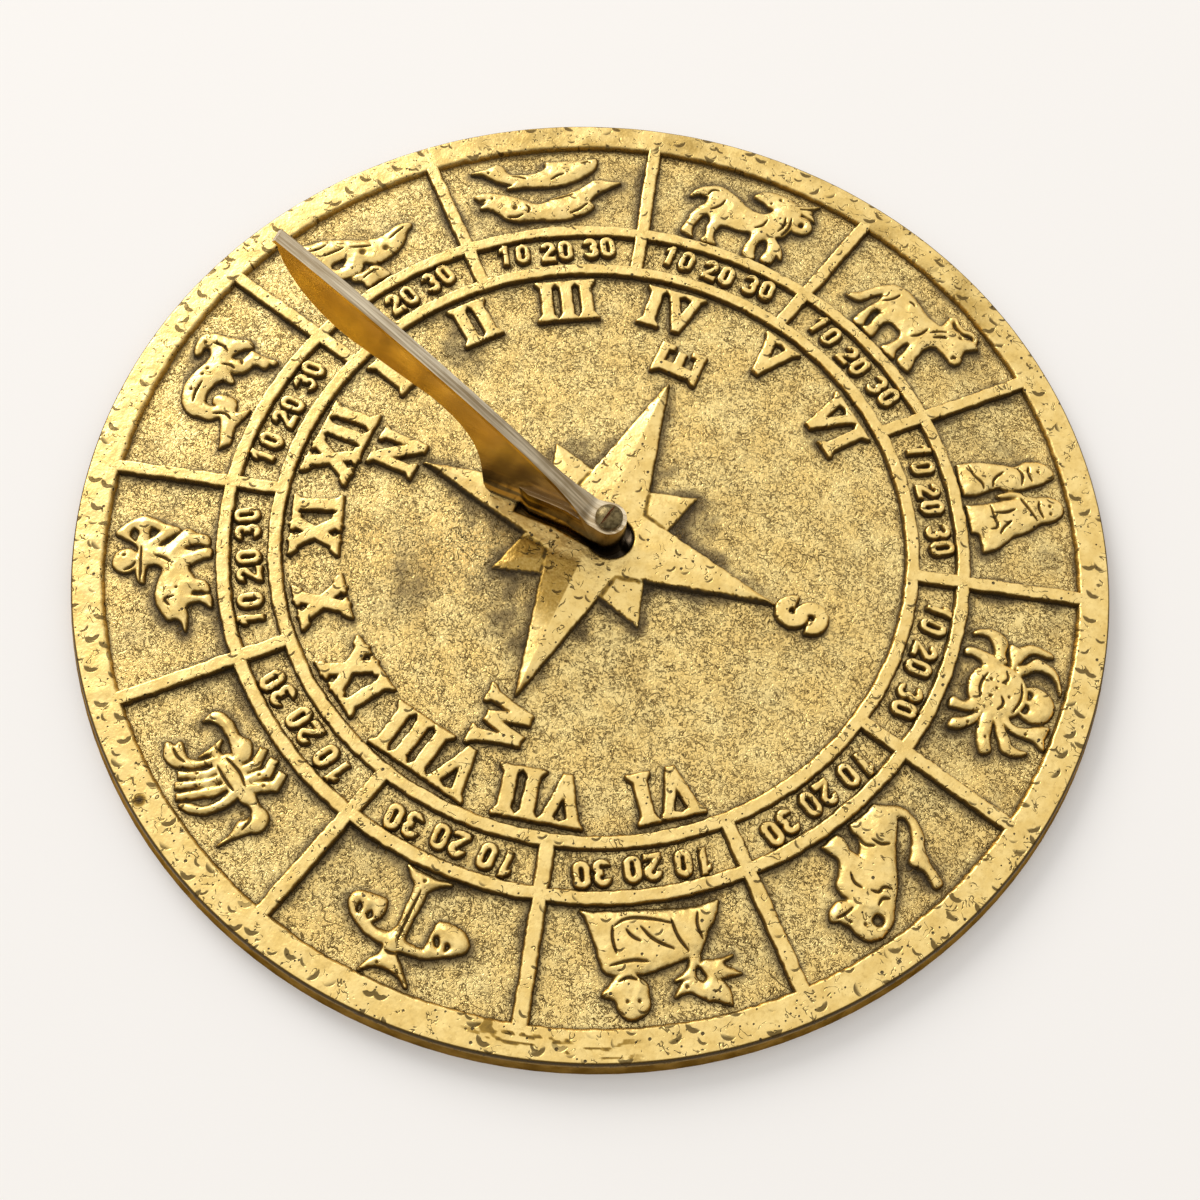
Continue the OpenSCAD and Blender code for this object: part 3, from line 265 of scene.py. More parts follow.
class Nodes:
    """A short way to write a material's nodes. Sizes of features are in millimetres."""

    def __init__(self, name):
        self.material = bpy.data.materials.new(name)
        self.material.use_nodes = True
        self.tree = self.material.node_tree
        self.tree.nodes.clear()
        self.output = self.tree.nodes.new("ShaderNodeOutputMaterial")
        self.place = self.add("ShaderNodeTexCoord").outputs["Object"]

    def add(self, kind, **settings):
        node = self.tree.nodes.new(kind)
        for key, value in settings.items():
            setattr(node, key, value)
        return node

    def put(self, socket, value):
        if isinstance(value, bpy.types.NodeSocket):
            self.tree.links.new(value, socket)
        else:
            socket.default_value = value

    def math(self, operation, a, b=0.0):
        node = self.add("ShaderNodeMath", operation=operation)
        self.put(node.inputs[0], a)
        self.put(node.inputs[1], b)
        return node.outputs[0]

    def plus(self, a, b):
        return self.math("ADD", a, b)

    def minus(self, a, b):
        return self.math("SUBTRACT", a, b)

    def times(self, a, b):
        return self.math("MULTIPLY", a, b)

    def larger(self, a, b):
        return self.math("MAXIMUM", a, b)

    def vector(self, operation, a, b):
        node = self.add("ShaderNodeVectorMath", operation=operation)
        self.put(node.inputs[0], a)
        self.put(node.inputs[1], b)
        return node.outputs["Value" if operation == "DOT_PRODUCT" else "Vector"]

    def noise(self, size, detail=2.0, roughness=0.5, distortion=0.0, seed=0, squeeze=None):
        """Noise from 0 to 1 whose features are about size millimetres wide.

        squeeze scales the three directions: features are long where it is small.
        """
        node = self.add("ShaderNodeTexNoise", noise_dimensions="4D")
        place = self.place
        if squeeze:
            mapping = self.add("ShaderNodeMapping")
            self.put(mapping.inputs["Vector"], place)
            mapping.inputs["Scale"].default_value = squeeze
            place = mapping.outputs[0]
        self.put(node.inputs["Vector"], place)
        node.inputs["W"].default_value = 3.7 * seed
        node.inputs["Scale"].default_value = 1 / (size * MM)
        node.inputs["Detail"].default_value = detail
        node.inputs["Roughness"].default_value = roughness
        node.inputs["Distortion"].default_value = distortion
        return node.outputs[0]

    def contour(self, size, thin, distortion, seed):
        """1 along the winding contour lines of a noise, 0 off them."""
        curve = self.noise(size, 1.5, 0.5, distortion, seed)
        away = self.math("ABSOLUTE", self.minus(curve, 0.5))
        return self.minus(1.0, self.band(away, 0.0, thin))

    def cells(self, size, dimensions="3D"):
        node = self.add("ShaderNodeTexVoronoi", voronoi_dimensions=dimensions)
        self.put(node.inputs["Vector"], self.place)
        node.inputs["Scale"].default_value = 1 / (size * MM)
        return node

    def chosen(self, cells, share):
        """1 in a share of the cells, 0 in the others."""
        colour = self.add("ShaderNodeSeparateColor")
        self.put(colour.inputs[0], cells.outputs["Color"])
        return self.band(colour.outputs[0], 1 - share, 1.02 - share)

    def band(self, value, low, high):
        """0 at low, 1 at high, smooth between; low may be the larger one."""
        node = self.add("ShaderNodeMapRange", interpolation_type="SMOOTHSTEP")
        self.put(node.inputs[0], value)
        node.inputs[1].default_value = low
        node.inputs[2].default_value = high
        return node.outputs[0]

    def mix(self, share, a, b):
        """Colour a where share is 0, colour b where it is 1."""
        node = self.add("ShaderNodeMix", data_type="RGBA")
        self.put(node.inputs[0], share)
        for socket, value in ((node.inputs[6], a), (node.inputs[7], b)):
            self.put(socket, (*value, 1) if isinstance(value, tuple) else value)
        return node.outputs[2]

    def bump(self, height, depth):
        node = self.add("ShaderNodeBump")
        self.put(node.inputs["Height"], height)
        node.inputs["Distance"].default_value = depth * MM
        node.inputs["Strength"].default_value = 1.0
        return node.outputs[0]

    def patina_and_shade(self):
        # Patina and painted shade of each point, read from the mesh
        return self.add("ShaderNodeAttribute", attribute_name="patina_and_shade").outputs["Fac"]

    def parts(self):
        """The x, y and z of the place, in metres."""
        node = self.add("ShaderNodeSeparateXYZ")
        self.put(node.inputs[0], self.place)
        return node.outputs

    def metal(self, colour, roughness, normal=None, edge=(1.0, 1.0, 1.0)):
        """Metal of a colour; edge is the tint of what it mirrors at a low angle."""
        shader = self.add("ShaderNodeBsdfPrincipled")
        self.put(shader.inputs["Base Color"], colour)
        self.put(shader.inputs["Roughness"], roughness)
        shader.inputs["Metallic"].default_value = 1
        shader.inputs["Specular Tint"].default_value = (*edge, 1)
        if normal is not None:
            self.put(shader.inputs["Normal"], normal)
        self.tree.links.new(shader.outputs[0], self.output.inputs[0])
        return self.material


def scratches(n, size, thin, share, seed):
    """Short curved lines: the contours of a noise, shown only in patches."""
    patches = n.noise(size * 0.8, 1, seed=seed + 40)
    return n.times(n.contour(size, thin, 1.2, seed), n.band(patches, 0.66 - share, 0.72 - share))


def pits(n, size, reach, share):
    """Round pits, in a share of the cells; reach is their radius as a part of the size."""
    dots = n.cells(size)
    dot = n.minus(1.0, n.band(dots.outputs["Distance"], reach * 0.6, reach))
    return n.times(dot, n.chosen(dots, share))


def shaded_dents(n, size, share, breadth=0.05):
    """Half-moon dents in a share of the cells.

    Each is the west or south-west half of a ring, dark as the painted shade of a dent; its
    radius and half breadth are parts of the size.
    """
    radius = 0.2
    cells = n.cells(size, "2D")
    away = n.math("ABSOLUTE", n.minus(cells.outputs["Distance"], radius))
    ring = n.minus(1.0, n.band(away, breadth - 0.02, breadth + 0.02))
    local = n.vector("SUBTRACT", n.place, cells.outputs["Position"])
    turn = n.vector("MULTIPLY", cells.outputs["Color"], (1.1, 1.1, 0))
    side = n.vector("DOT_PRODUCT", local, n.vector("ADD", turn, (-1.3, -0.7, 0)))
    # Painted shade: only the dent's west side is dark, as for a dent lit from the east
    shaded_side = n.band(side, 0.03 * size * MM, 0.1 * size * MM)
    return n.times(n.times(ring, shaded_side), n.chosen(cells, share))


def worn_brass():
    """Relief tops: pale rubbed gold, brown patina and painted shade down the walls, pits and curved
    dents with painted shade on one side.
    """
    n = Nodes("worn_brass")
    pit = n.larger(pits(n, 1.7, 0.17, 0.55), pits(n, 3.1, 0.15, 0.45))
    across = n.vector("MULTIPLY", n.place, (1, 1, 0))
    from_middle = n.math("SQRT", n.vector("DOT_PRODUCT", across, across))
    border = n.band(from_middle, (RIM_INNER - 1.1) * MM, (RIM_INNER + 0.4) * MM)
    shaded_dent = n.larger(shaded_dents(n, 5.2, 0.5), n.times(shaded_dents(n, 6.4, 0.85, 0.08), border))
    scratches_and_shaded_dents = n.larger(shaded_dent, scratches(n, 3.4, 0.025, 0.13, 3))
    wander = n.times(n.minus(n.noise(0.7, 3), 0.5), n.band(n.patina_and_shade(), 0.0, 0.35))
    patina_and_shade = n.plus(n.patina_and_shade(), n.times(wander, 0.22))
    mottle = n.band(n.noise(5, 4, 0.6), 0.34, 0.66)
    dull = n.band(n.noise(1.3, 4, 0.65), 0.5, 0.7)
    colour = n.mix(mottle, GOLD, PALE_GOLD)
    colour = n.mix(n.times(dull, 0.5), colour, DULL_GOLD)
    # Patina and painted shade: deep gold, then brown, then black at the wall feet, most on
    # west-facing walls and in the pocket
    colour = n.mix(n.band(patina_and_shade, 0.08, 0.32), colour, DEEP_GOLD)
    colour = n.mix(n.band(patina_and_shade, 0.3, 0.58), colour, BROWN)
    colour = n.mix(n.band(patina_and_shade, 0.68, 0.95), colour, SOOT_AND_SHADE)
    colour = n.mix(n.times(pit, 0.95), colour, SOOT_AND_SHADE)
    # Dark scratches, and the painted shade of the dents
    colour = n.mix(n.times(scratches_and_shaded_dents, 0.88), colour, SCRATCH_AND_DENT_SHADE_BROWN)
    height = n.plus(n.times(n.noise(4, 3), 1.6), n.times(n.noise(0.7, 3), 0.3))
    height = n.minus(height, n.times(pit, 0.7))
    height = n.minus(height, n.times(scratches_and_shaded_dents, 0.6))
    rough = n.plus(0.32, n.times(n.noise(2.5, 3), 0.15))
    rough = n.plus(rough, n.times(n.band(patina_and_shade, 0.2, 0.8), 0.25))
    return n.metal(colour, rough, n.bump(height, 0.27))


def field_brass():
    """The field: grainy brass, dark with soot and painted shade beside raised work, and in pools.
    """
    n = Nodes("field_brass")
    pit = pits(n, 1.5, 0.16, 0.35)
    crack = n.times(n.contour(13, 0.0035, 0.8, 7), n.band(n.noise(20, 1, seed=8), 0.5, 0.56))
    line = n.larger(scratches(n, 2.6, 0.03, 0.2, 5), crack)
    grain = n.noise(0.9, 1, distortion=0.7)
    crowd = n.band(n.noise(5, seed=13), 0.36, 0.58)
    worm = n.times(n.contour(0.9, 0.09, 0.9, 2), n.band(n.noise(0.8, 1, seed=12), 0.4, 0.5))
    worm = n.times(worm, n.plus(0.4, n.times(crowd, 0.5)))
    pools = n.band(n.noise(24, 3, 0.55), 0.5, 0.75)
    patina_and_shade = n.plus(n.patina_and_shade(), n.times(pools, 0.14))
    wander = n.times(n.minus(n.noise(1.2, 4, 0.65), 0.5), n.band(patina_and_shade, 0.0, 0.25))
    patina_and_shade = n.plus(patina_and_shade, n.times(wander, 0.5))
    colour = n.mix(n.band(n.noise(7, 4, 0.6), 0.35, 0.7), FIELD_GOLD, FIELD_PALE)
    colour = n.mix(n.times(n.band(grain, 0.5, 0.36), 0.3), colour, DEEP_GOLD)
    colour = n.mix(worm, colour, GRAIN_BROWN)
    # Soot and painted shade beside raised work, and the pools
    colour = n.mix(n.times(n.band(patina_and_shade, 0.08, 0.6), 0.86), colour, FIELD_SOOT_AND_SHADE)
    colour = n.mix(n.band(patina_and_shade, 0.62, 1.0), colour, SOOT_AND_SHADE)
    colour = n.mix(n.times(pit, 0.9), colour, SOOT_AND_SHADE)
    colour = n.mix(n.times(line, 0.85), colour, BROWN)
    height = n.plus(n.times(grain, 0.5), n.times(n.noise(3, 3), 0.5))
    height = n.minus(height, n.times(worm, 0.7))
    height = n.minus(height, n.times(pit, 0.4))
    height = n.minus(height, n.times(line, 0.5))
    rough = n.plus(0.36, n.times(n.band(patina_and_shade, 0.2, 0.8), 0.24))
    return n.metal(colour, rough, n.bump(height, 0.26))


def side_brass():
    """The dial's side and underside: brown bronze."""
    n = Nodes("side_brass")
    colour = n.mix(n.band(n.noise(6, 4, 0.6), 0.35, 0.65), SIDE_BROWN, SIDE_BRONZE)
    height = n.plus(n.noise(2.5, 3), n.times(n.noise(0.4), 0.3))
    rough = n.plus(0.4, n.times(n.noise(3), 0.15))
    return n.metal(colour, rough, n.bump(height, 0.12), SIDE_MIRROR)


def gnomon_brass():
    """The blade: smooth amber, with painted shade low down and at its foot, and painted reflections
    as lighter streaks along it there.
    """
    n = Nodes("gnomon_brass")
    _, north, up = n.parts()
    # Painted shade: darker low down on the blade
    low = n.band(n.plus(up, n.times(n.noise(14), 0.02)), 0.056, 0.016)
    # Painted shade at the foot
    foot_shade = n.band(n.plus(up, n.times(n.noise(5), 0.004)), 0.0155, 0.0095)
    # Painted reflections: lighter streaks along the low part
    streak = n.times(n.band(n.noise(2.4, seed=31, squeeze=(1, 0.1, 1)), 0.48, 0.6), low)
    streak = n.times(streak, n.band(north, 0.001, 0.006))
    colour = n.mix(n.band(n.noise(11, 3, 0.55), 0.35, 0.7), AMBER, LIGHT_AMBER)
    colour = n.mix(n.times(low, 0.93), colour, SHADE_AMBER)
    colour = n.mix(n.times(foot_shade, 0.8), colour, FOOT_SHADE_BROWN)
    colour = n.mix(n.times(streak, 0.6), colour, REFLECTION_STREAK_AMBER)
    height = n.plus(n.noise(6), n.times(n.noise(0.5), 0.05))
    rough = n.plus(0.14, n.times(n.noise(4, 3), 0.14))
    return n.metal(colour, rough, n.bump(height, 0.14))


def style_metal():
    """The style's worn upper edge: pale, and brushed along its length."""
    n = Nodes("style_metal")
    _, _, up = n.parts()
    streaks = n.noise(0.8, 4, 0.6, squeeze=(1, 0.03, 0.03))
    colour = n.mix(n.band(streaks, 0.36, 0.62), STYLE_DARK, STYLE_PALE)
    colour = n.mix(n.times(n.band(n.noise(9, 3), 0.48, 0.72), 0.5), colour, STYLE_STAIN)
    colour = n.mix(n.times(n.band(up, 0.045, 0.012), 0.25), colour, STYLE_LOW)
    return n.metal(colour, 0.3, n.bump(streaks, 0.03))


def screw_metal():
    """The screw: tarnished, olive and brown."""
    n = Nodes("screw_metal")
    colour = n.mix(n.band(n.noise(1.2, 4), 0.35, 0.65), STEEL_DARK, STEEL_LIGHT)
    return n.metal(colour, 0.36, n.bump(n.noise(0.6, 3), 0.08))


def pocket_shade_metal():
    """The hub pocket: painted shade in black with a painted grey glint, and browner towards the
    north.
    """
    n = Nodes("pocket_shade_metal")
    _, north, _ = n.parts()
    # Painted shade in the recess, mottled with a painted grey glint
    colour = n.mix(n.noise(3, 3), POCKET_SHADE_BLACK, POCKET_GLINT_GREY)
    colour = n.mix(n.band(north, -0.002, 0.008), colour, POCKET_BROWN)
    return n.metal(colour, 0.34, n.bump(n.noise(1.5, 3), 0.1))


def slot_metal():
    """The screw's slot: coppery."""
    n = Nodes("slot_metal")
    return n.metal(n.mix(n.noise(0.8), COPPER_DARK, COPPER_LIGHT), 0.4)


MATERIALS = {"worn_brass": worn_brass(), "field_brass": field_brass()}


# Meshes
def any_corner(marked):
    """The cells of a grid that have a marked point at some corner."""
    return marked[:-1, :-1] | marked[1:, :-1] | marked[:-1, 1:] | marked[1:, 1:]


def surface(name, node, x, y, z, patina_and_shade, keep=None, slot="worn_brass", flip=False):
    """A smooth piece in place of a node, over the kept cells of a grid of points in mm.

    flip turns the faces over, for grids whose second direction runs clockwise.
    """
    if keep is None:
        keep = np.ones((x.shape[0] - 1, x.shape[1] - 1), bool)
    cells = np.argwhere(keep)
    corner = cells[:, 0] * x.shape[1] + cells[:, 1]
    faces = np.stack([corner, corner + x.shape[1], corner + x.shape[1] + 1, corner + 1], axis=1)
    used = np.zeros(x.size, bool)
    used[faces.ravel()] = True
    faces = (np.cumsum(used) - 1)[faces]
    if flip:
        faces = faces[:, ::-1]
    points = np.stack([x.ravel(), y.ravel(), z.ravel()], axis=1)[used]
    mesh = bpy.data.meshes.new(name)
    mesh.vertices.add(len(points))
    mesh.vertices.foreach_set("co", (points * MM).astype(np.float32).ravel())
    mesh.loops.add(faces.size)
    mesh.loops.foreach_set("vertex_index", faces.astype(np.int32).ravel())
    mesh.polygons.add(len(faces))
    mesh.polygons.foreach_set("loop_start", np.arange(0, faces.size, 4, dtype=np.int32))
    mesh.polygons.foreach_set("loop_total", np.full(len(faces), 4, np.int32))
    mesh.update()
    mesh.validate()
    mesh.polygons.foreach_set("use_smooth", np.ones(len(mesh.polygons), bool))
    # Patina and painted shade of each point, for the materials
    attribute = mesh.attributes.new("patina_and_shade", "FLOAT", "POINT")
    attribute.data.foreach_set("value", patina_and_shade.ravel()[used].astype(np.float32))
    mesh.materials.append(MATERIALS[slot])
    piece = bpy.data.objects.new(name, mesh)
    bpy.context.scene.collection.objects.link(piece)
    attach(piece, "dial")
    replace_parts(piece, node)


# Cast work
def cast_edge(signed):
    """The share of the full height at a distance inside an outline."""
    u = np.clip((signed + SKIRT) / (SKIRT + ROUNDING), 0, 1)
    return 1 - (1 - u) ** 2


def waver(x, y):
    """How far a cast edge wanders from its true line."""
    return 0.15 * noise(x, y, 2.3, 1) + 0.12 * noise(x, y, 0.8, 2)


def top_waves(x, y):
    """The unevenness of a cast top."""
    return 0.06 * noise(x, y, 5, 3) + 0.035 * noise(x, y, 1.7, 4)


def raised(signed, height, x, y):
    """The z of work that stands a height over the field, sloping down at its outline."""
    sunk = SINK * np.clip((-SKIRT - signed) / SINK_WIDTH, 0, 1)
    return FIELD + cast_edge(signed) * (height + top_waves(x, y)) - sunk


def wall_patina_and_shade(signed, east):
    """Dark patina and painted shade on a wall: none on the top, black at the foot, and more painted
    shade where it faces west.

    east is the eastward part of the wall's outward direction.
    """
    # Painted shade: reach and darkness grow where the wall faces west, away from the light
    reach = 0.1 + 0.15 * np.clip(-east, 0, 1)
    return np.clip((reach - signed) / 0.64, 0, 1) * (0.9 - 0.35 * np.clip(east, 0, 1))


# Figures, numerals and letters

# Lines engraved in each figure, in its sector's own frame: x clockwise and y outwards from
# the middle of the figure. The signs follow one another clockwise from the first rib.
# Then the round hollows of each figure, as place and radius.
LINES = {
    "aquarius": [
        [(-9, 2), (-6.5, 1.8), (-3.3, 1.2)], [(-11.5, 5.5), (-9, 4.6), (-6.5, 4.8)],
        [(8.2, -3), (11, -2.6), (13.4, -2.1)], [(-2, 0.4), (0.5, -1), (3, -2.2)],
        [(-4.4, -9.6), (-2, -9.1), (0.6, -9.7)],
    ],
    "pisces": [
        [(-9.2, 4.9), (-7.2, 4.6), (-5.5, 3.5)], [(1, 2.6), (3, 3.9), (5, 4.3)],
        [(10, 7.3), (12, 8.1)], [(-12, -8.5), (-9.5, -9), (-7.5, -8.3)],
        [(-19, -2.6), (-17.3, -2.4)], [(0.4, -3.9), (3.5, -3.3), (6.7, -2.4)],
        [(5, -9), (8, -7.8), (10.3, -6.2)], [(-6.5, -5.2), (-5.6, -6.6), (-6.4, -8)],
    ],
    "aries": [
        [(-12, 2), (-11.2, 4), (-9.3, 4.3)], [(11.8, 3.5), (12.3, 0.5), (11, -2.6)],
        [(10.3, 3), (10.8, 0.6), (9.8, -2)], [(12.8, 7.6), (15, 8.4), (16.4, 9.6)],
        [(-9.5, -2.6), (-7.5, -0.6), (-6.8, 2.2)], [(3.6, -3.4), (5.4, -2), (6, 0.6)],
    ],
    "taurus": [
        [(-5, 2.8), (-4, 3.2), (-3, 3)], [(5.6, 1), (6.4, 2.8), (8, 4.4)],
        [(7, 0.4), (8, 2), (9.4, 3.2)], [(-9.8, -2.6), (-8.2, -0.4), (-8, 2.4)],
        [(3.2, -4.2), (4.4, -1.8), (4.2, 1.2)], [(14.2, 0.7), (15.2, 0.9)],
    ],
    "gemini": [
        [(-5.5, -1), (-3.8, -4.1), (-1.6, -4.6)],
        [(-8.3, -9.5), (-5, -9), (-3, -7.2), (-1.4, -7)], [(-6.2, 2.6), (-4, 3.6), (-1.4, 2.8)],
        [(2.3, 1.5), (4.6, 2.3), (8.8, 4.2)], [(3.3, -6.5), (6.5, -6.4), (9.8, -5.8), (10, -8)],
        [(8.5, -2.4), (9.6, -4.4), (11.6, -6)], [(5.2, -0.6), (6, -3), (5.6, -6)],
        [(-6.2, 5.6), (-4.4, 4.9), (-2, 5.6)], [(3.6, 6), (5.6, 5.2), (8.4, 6)],
    ],
    "cancer": [
        [(-3.6, 2.6), (0.3, 3.9), (4.2, 2.6)], [(-5, -1.6), (-3.2, -0.4), (-1.6, -1.8)],
        [(1.4, -1), (3.4, 0.3), (5.2, -1)], [(-3, -5.6), (0.4, -6.6), (3.6, -5.6)],
    ],
    "leo": [
        [(0.4, 4.6), (1.6, 3), (3.4, 3.6), (4.4, 2)], [(2.2, 6), (3.6, 4.8), (5.4, 5.6)],
        [(10, 2.4), (12.4, 2.7), (14.6, 2.1)], [(-3, -5), (-1.2, -6.6), (-1.5, -9)],
        [(5.6, 0.4), (6.4, -1.6), (5.4, -3.8)], [(-6.2, -3.4), (-4.2, -4.4), (-3.4, -6.6)],
    ],
    "virgo": [
        [(-4.5, -2.5), (0, -5), (2.3, -8.3)], [(2.5, -5), (4.4, -6.2), (5.5, -8)],
        [(1.5, -0.5), (5, -1.3), (10, -0.6)], [(-5, -8), (0, -9.8), (5, -10.6), (8, -9)],
        [(-7.5, -1.6), (-5.4, -5), (-4.6, -9)], [(8.2, -3), (8.8, -6), (8.4, -9)],
        [(-11, -4), (-10, -7), (-10.6, -10)], [(4.4, 3), (6.4, 2.2), (8.6, 3)],
    ],
    "libra": [
        [(0, 6.2), (1.4, 6.6), (2.6, 6.3)], [(0.9, -8.4), (1.1, -2), (0.9, 3.6)],
        [(-3.4, 11), (0.6, 10.6), (4.6, 11.2)],
    ],
    "scorpio": [
        [(-4, 0), (-0.4, 0.2), (3.4, -0.2)], [(-4.4, -2.6), (-1, -3.6), (3.6, -2.8)],
        [(-9.6, -0.2), (-12, 0.6), (-12.6, 3.4)], [(8.4, 5.2), (10.6, 6), (13, 5.6)],
    ],
    "sagittarius": [
        [(2.2, 8.4), (2.6, 6.6), (4, 5.6)], [(-8.6, -2.4), (-6.6, -0.8), (-6.2, -3.4)],
        [(2.8, -2.8), (4.2, -1.4), (5.2, 1)], [(-1.2, 4.6), (3, 4.3), (8, 4.2)],
    ],
    "capricorn": [
        [(-7.4, 1.8), (-4.6, 2.8), (-1, 2.7)], [(9.4, 1), (10.6, 3), (10.2, 5.8)],
        [(-8.2, -4.2), (-6.8, -7), (-8, -9.2)], [(8.8, -3), (7.4, -4.2)],
        [(5.4, 0.6), (6.2, -1.4), (5.6, -3)],
    ],
}
HOLLOWS = {
    "aquarius": [
        (0, -2.7, 1.0), (5.8, -5, 0.9),
    ],
    "pisces": [
        (-9.6, -6, 0.8), (12.4, 7.4, 0.35), (-15.6, 6.6, 0.4), (-15.4, -2.2, 0.4),
    ],
    "aries": [
        (7, 8.2, 0.55), (5, 6.3, 0.4), (-13, 1, 0.7),
    ],
    "taurus": [
        (11.4, 6.1, 0.6), (14.5, 0.2, 0.4),
    ],
    "gemini": [
        (-4.4, 7.6, 0.45), (5.4, 8.2, 0.5), (7.4, 8, 0.45),
    ],
    "cancer": [
        (-2, -1, 0.5), (2.4, -3.4, 0.5), (1, 0.8, 0.4), (-1.8, -4.4, 0.45), (3.6, -0.2, 0.35),
        (0, -2.6, 0.4), (-11.2, -7.4, 0.4), (10.6, -6.4, 0.4), (12.6, -1.6, 0.4), (8.2, 7, 0.4),
    ],
    "leo": [
        (10.4, 7, 0.5), (12.6, 4.6, 0.4),
    ],
    "virgo": [
        (4.6, 7.6, 0.45), (7.2, 7.4, 0.45), (-6, 5.8, 0.5),
    ],
    "libra": [
        (-2, 9.8, 0.4), (3, 9.4, 0.4), (1, -10.6, 0.5),
    ],
    "scorpio": [
        (-1.6, 6.4, 0.4), (2.2, 6.2, 0.4), (4.6, 4.4, 0.4), (-6.8, -6, 0.45), (-4, -6.6, 0.4),
    ],
    "sagittarius": [
        (6, 8.2, 0.5), (-4, -4, 0.4),
    ],
    "capricorn": [
        (9.6, 7.6, 0.5), (0.9, 3.7, 0.45), (2.8, 3.3, 0.45), (-4.2, 4.2, 0.4),
    ],
}


def local_to_dial(sector, points):
    """Points of a sector's own frame as dial points."""
    out, along = directions(math.radians(FIRST_RIB + (sector + 0.5) * SECTOR))
    points = np.array(points, float)
    return points[:, :1] * along + (FIGURE_RADIUS + points[:, 1:]) * out


def rounded(points):
    """A broken line with its corners cut twice."""
    for _ in range(2):
        near = 0.75 * points[:-1] + 0.25 * points[1:]
        far = 0.25 * points[:-1] + 0.75 * points[1:]
        inner = np.stack([near, far], axis=1).reshape(-1, 2)
        points = np.vstack([points[:1], inner, points[-1:]])
    return points


def engraving(grid, sector, lines, hollows):
    """How deep the engraved lines and hollows are, in mm, on the grid."""
    line_depth, line_end, line_swell = 0.7, 0.1, 0.24
    hollow_depth = 0.5
    depth = np.zeros(grid.count)
    x, y = grid.points()
    for line in lines:
        points = rounded(local_to_dial(sector, line))
        near = np.full(grid.count, 9.0)
        last = len(points) - 1
        for k, (a, b) in enumerate(zip(points[:-1], points[1:])):
            d = b - a
            t = np.clip(((x - a[0]) * d[0] + (y - a[1]) * d[1]) / (d @ d), 0, 1)
            width = line_end + line_swell * np.sin(math.pi * (k + t) / last)
            near = np.minimum(near, np.hypot(x - a[0] - t * d[0], y - a[1] - t * d[1]) / width)
        depth = np.maximum(depth, line_depth * np.exp(-near ** 2))
    for px, py, radius in hollows:
        centre = local_to_dial(sector, [(px, py)])[0]
        away = np.hypot(x - centre[0], y - centre[1])
        depth = np.maximum(depth, hollow_depth * np.exp(-(away / radius) ** 4))
    return depth


def carved(name, node, step, crown, sector=None):
    """Raised work over its node's own top outline; crown is how much it swells inwards.

    A figure has its sector's number, and gets creases and engraved lines as well.
    """
    margin = 1.2
    edges = top_outline(node)
    remember(edges)
    grid = Grid(edges.min(axis=(0, 1)) - margin, edges.max(axis=(0, 1)) + margin, step)
    signed = grid.distance_to(edges)
    x, y = grid.points()
    swell = 1 - np.exp(-np.clip(signed, 0, None) / 1.5)
    height = RELIEF * (1 - 0.4 * crown + 0.5 * crown * swell)
    cut = np.zeros_like(x)
    if sector is not None:
        crease = 1 - 2.4 * np.abs(noise(x, y, 3.4, 11))
        height += (0.13 * crease + 0.2 * noise(x, y, 4, 26)) * swell + 0.07 * noise(x, y, 1.1, 12)
        cut = engraving(grid, sector, LINES[node], HOLLOWS[node])
    east = -np.gradient(signed, grid.step, axis=0)
    signed = signed + waver(x, y) * np.clip(1 - np.abs(signed) / 2, 0, 1)
    z = raised(signed, height - cut, x, y)
    # Patina with painted shade on the walls, more shade on west-facing ones; patina in the
    # engraving
    patina_and_shade = np.clip(np.maximum(wall_patina_and_shade(signed, east), 1.25 * cut), 0, 1)
    surface(name, node, x, y, z, patina_and_shade, any_corner(signed > -SKIRT - HEM))


for k, sign in enumerate(LINES):
    carved(sign + "_relief", sign, 0.25, 1.0, sector=k)
carved("hours", "hour_numerals", 0.25, 0.1)
carved("letters", "compass_letters", 0.25, 0.1)
carved("degrees", "degree_numbers", 0.22, 0.1)


# Compass star
def pocket_distance(x, y):
    """Distance inside the hub pocket, negative outside it."""
    eye = POCKET_RADIUS - np.hypot(x, y + POCKET_SOUTH)
    u = np.clip((y + SCREW_SOUTH) / (POCKET_TAPER_END + SCREW_SOUTH), 0, 1)
    half = POCKET_WIDE + (POCKET_NARROW - POCKET_WIDE) * u
    bar = np.minimum(np.minimum(half - np.abs(x), POCKET_NORTH - y), y + SCREW_SOUTH)
    return np.maximum(eye, bar)


def star_outlines():
    """The outline of the four long rays, and the four short rays as kites."""
    notch_radius = STAR_CORNER * math.sqrt(2)
    long_rays = []
    for quarter in range(4):
        ray = math.radians(90 * quarter)
        notch = ray + math.radians(45)
        long_rays.append((RAY_TIP * math.sin(ray), RAY_TIP * math.cos(ray)))
        long_rays.append((notch_radius * math.sin(notch), notch_radius * math.cos(notch)))
    join = STAR_CORNER * (RAY_TIP - SHORT_ROOT) / (RAY_TIP - STAR_CORNER)
    tip = SHORT_TIP / math.sqrt(2)
    kites = []
    for sx, sy in ((1, 1), (1, -1), (-1, -1), (-1, 1)):
        roots = (sx * SHORT_ROOT, sy * join), (sx * join, sy * SHORT_ROOT)
        kites.append(closed([(0, 0), roots[0], (sx * tip, sy * tip), roots[1]]))
    return closed(long_rays), kites


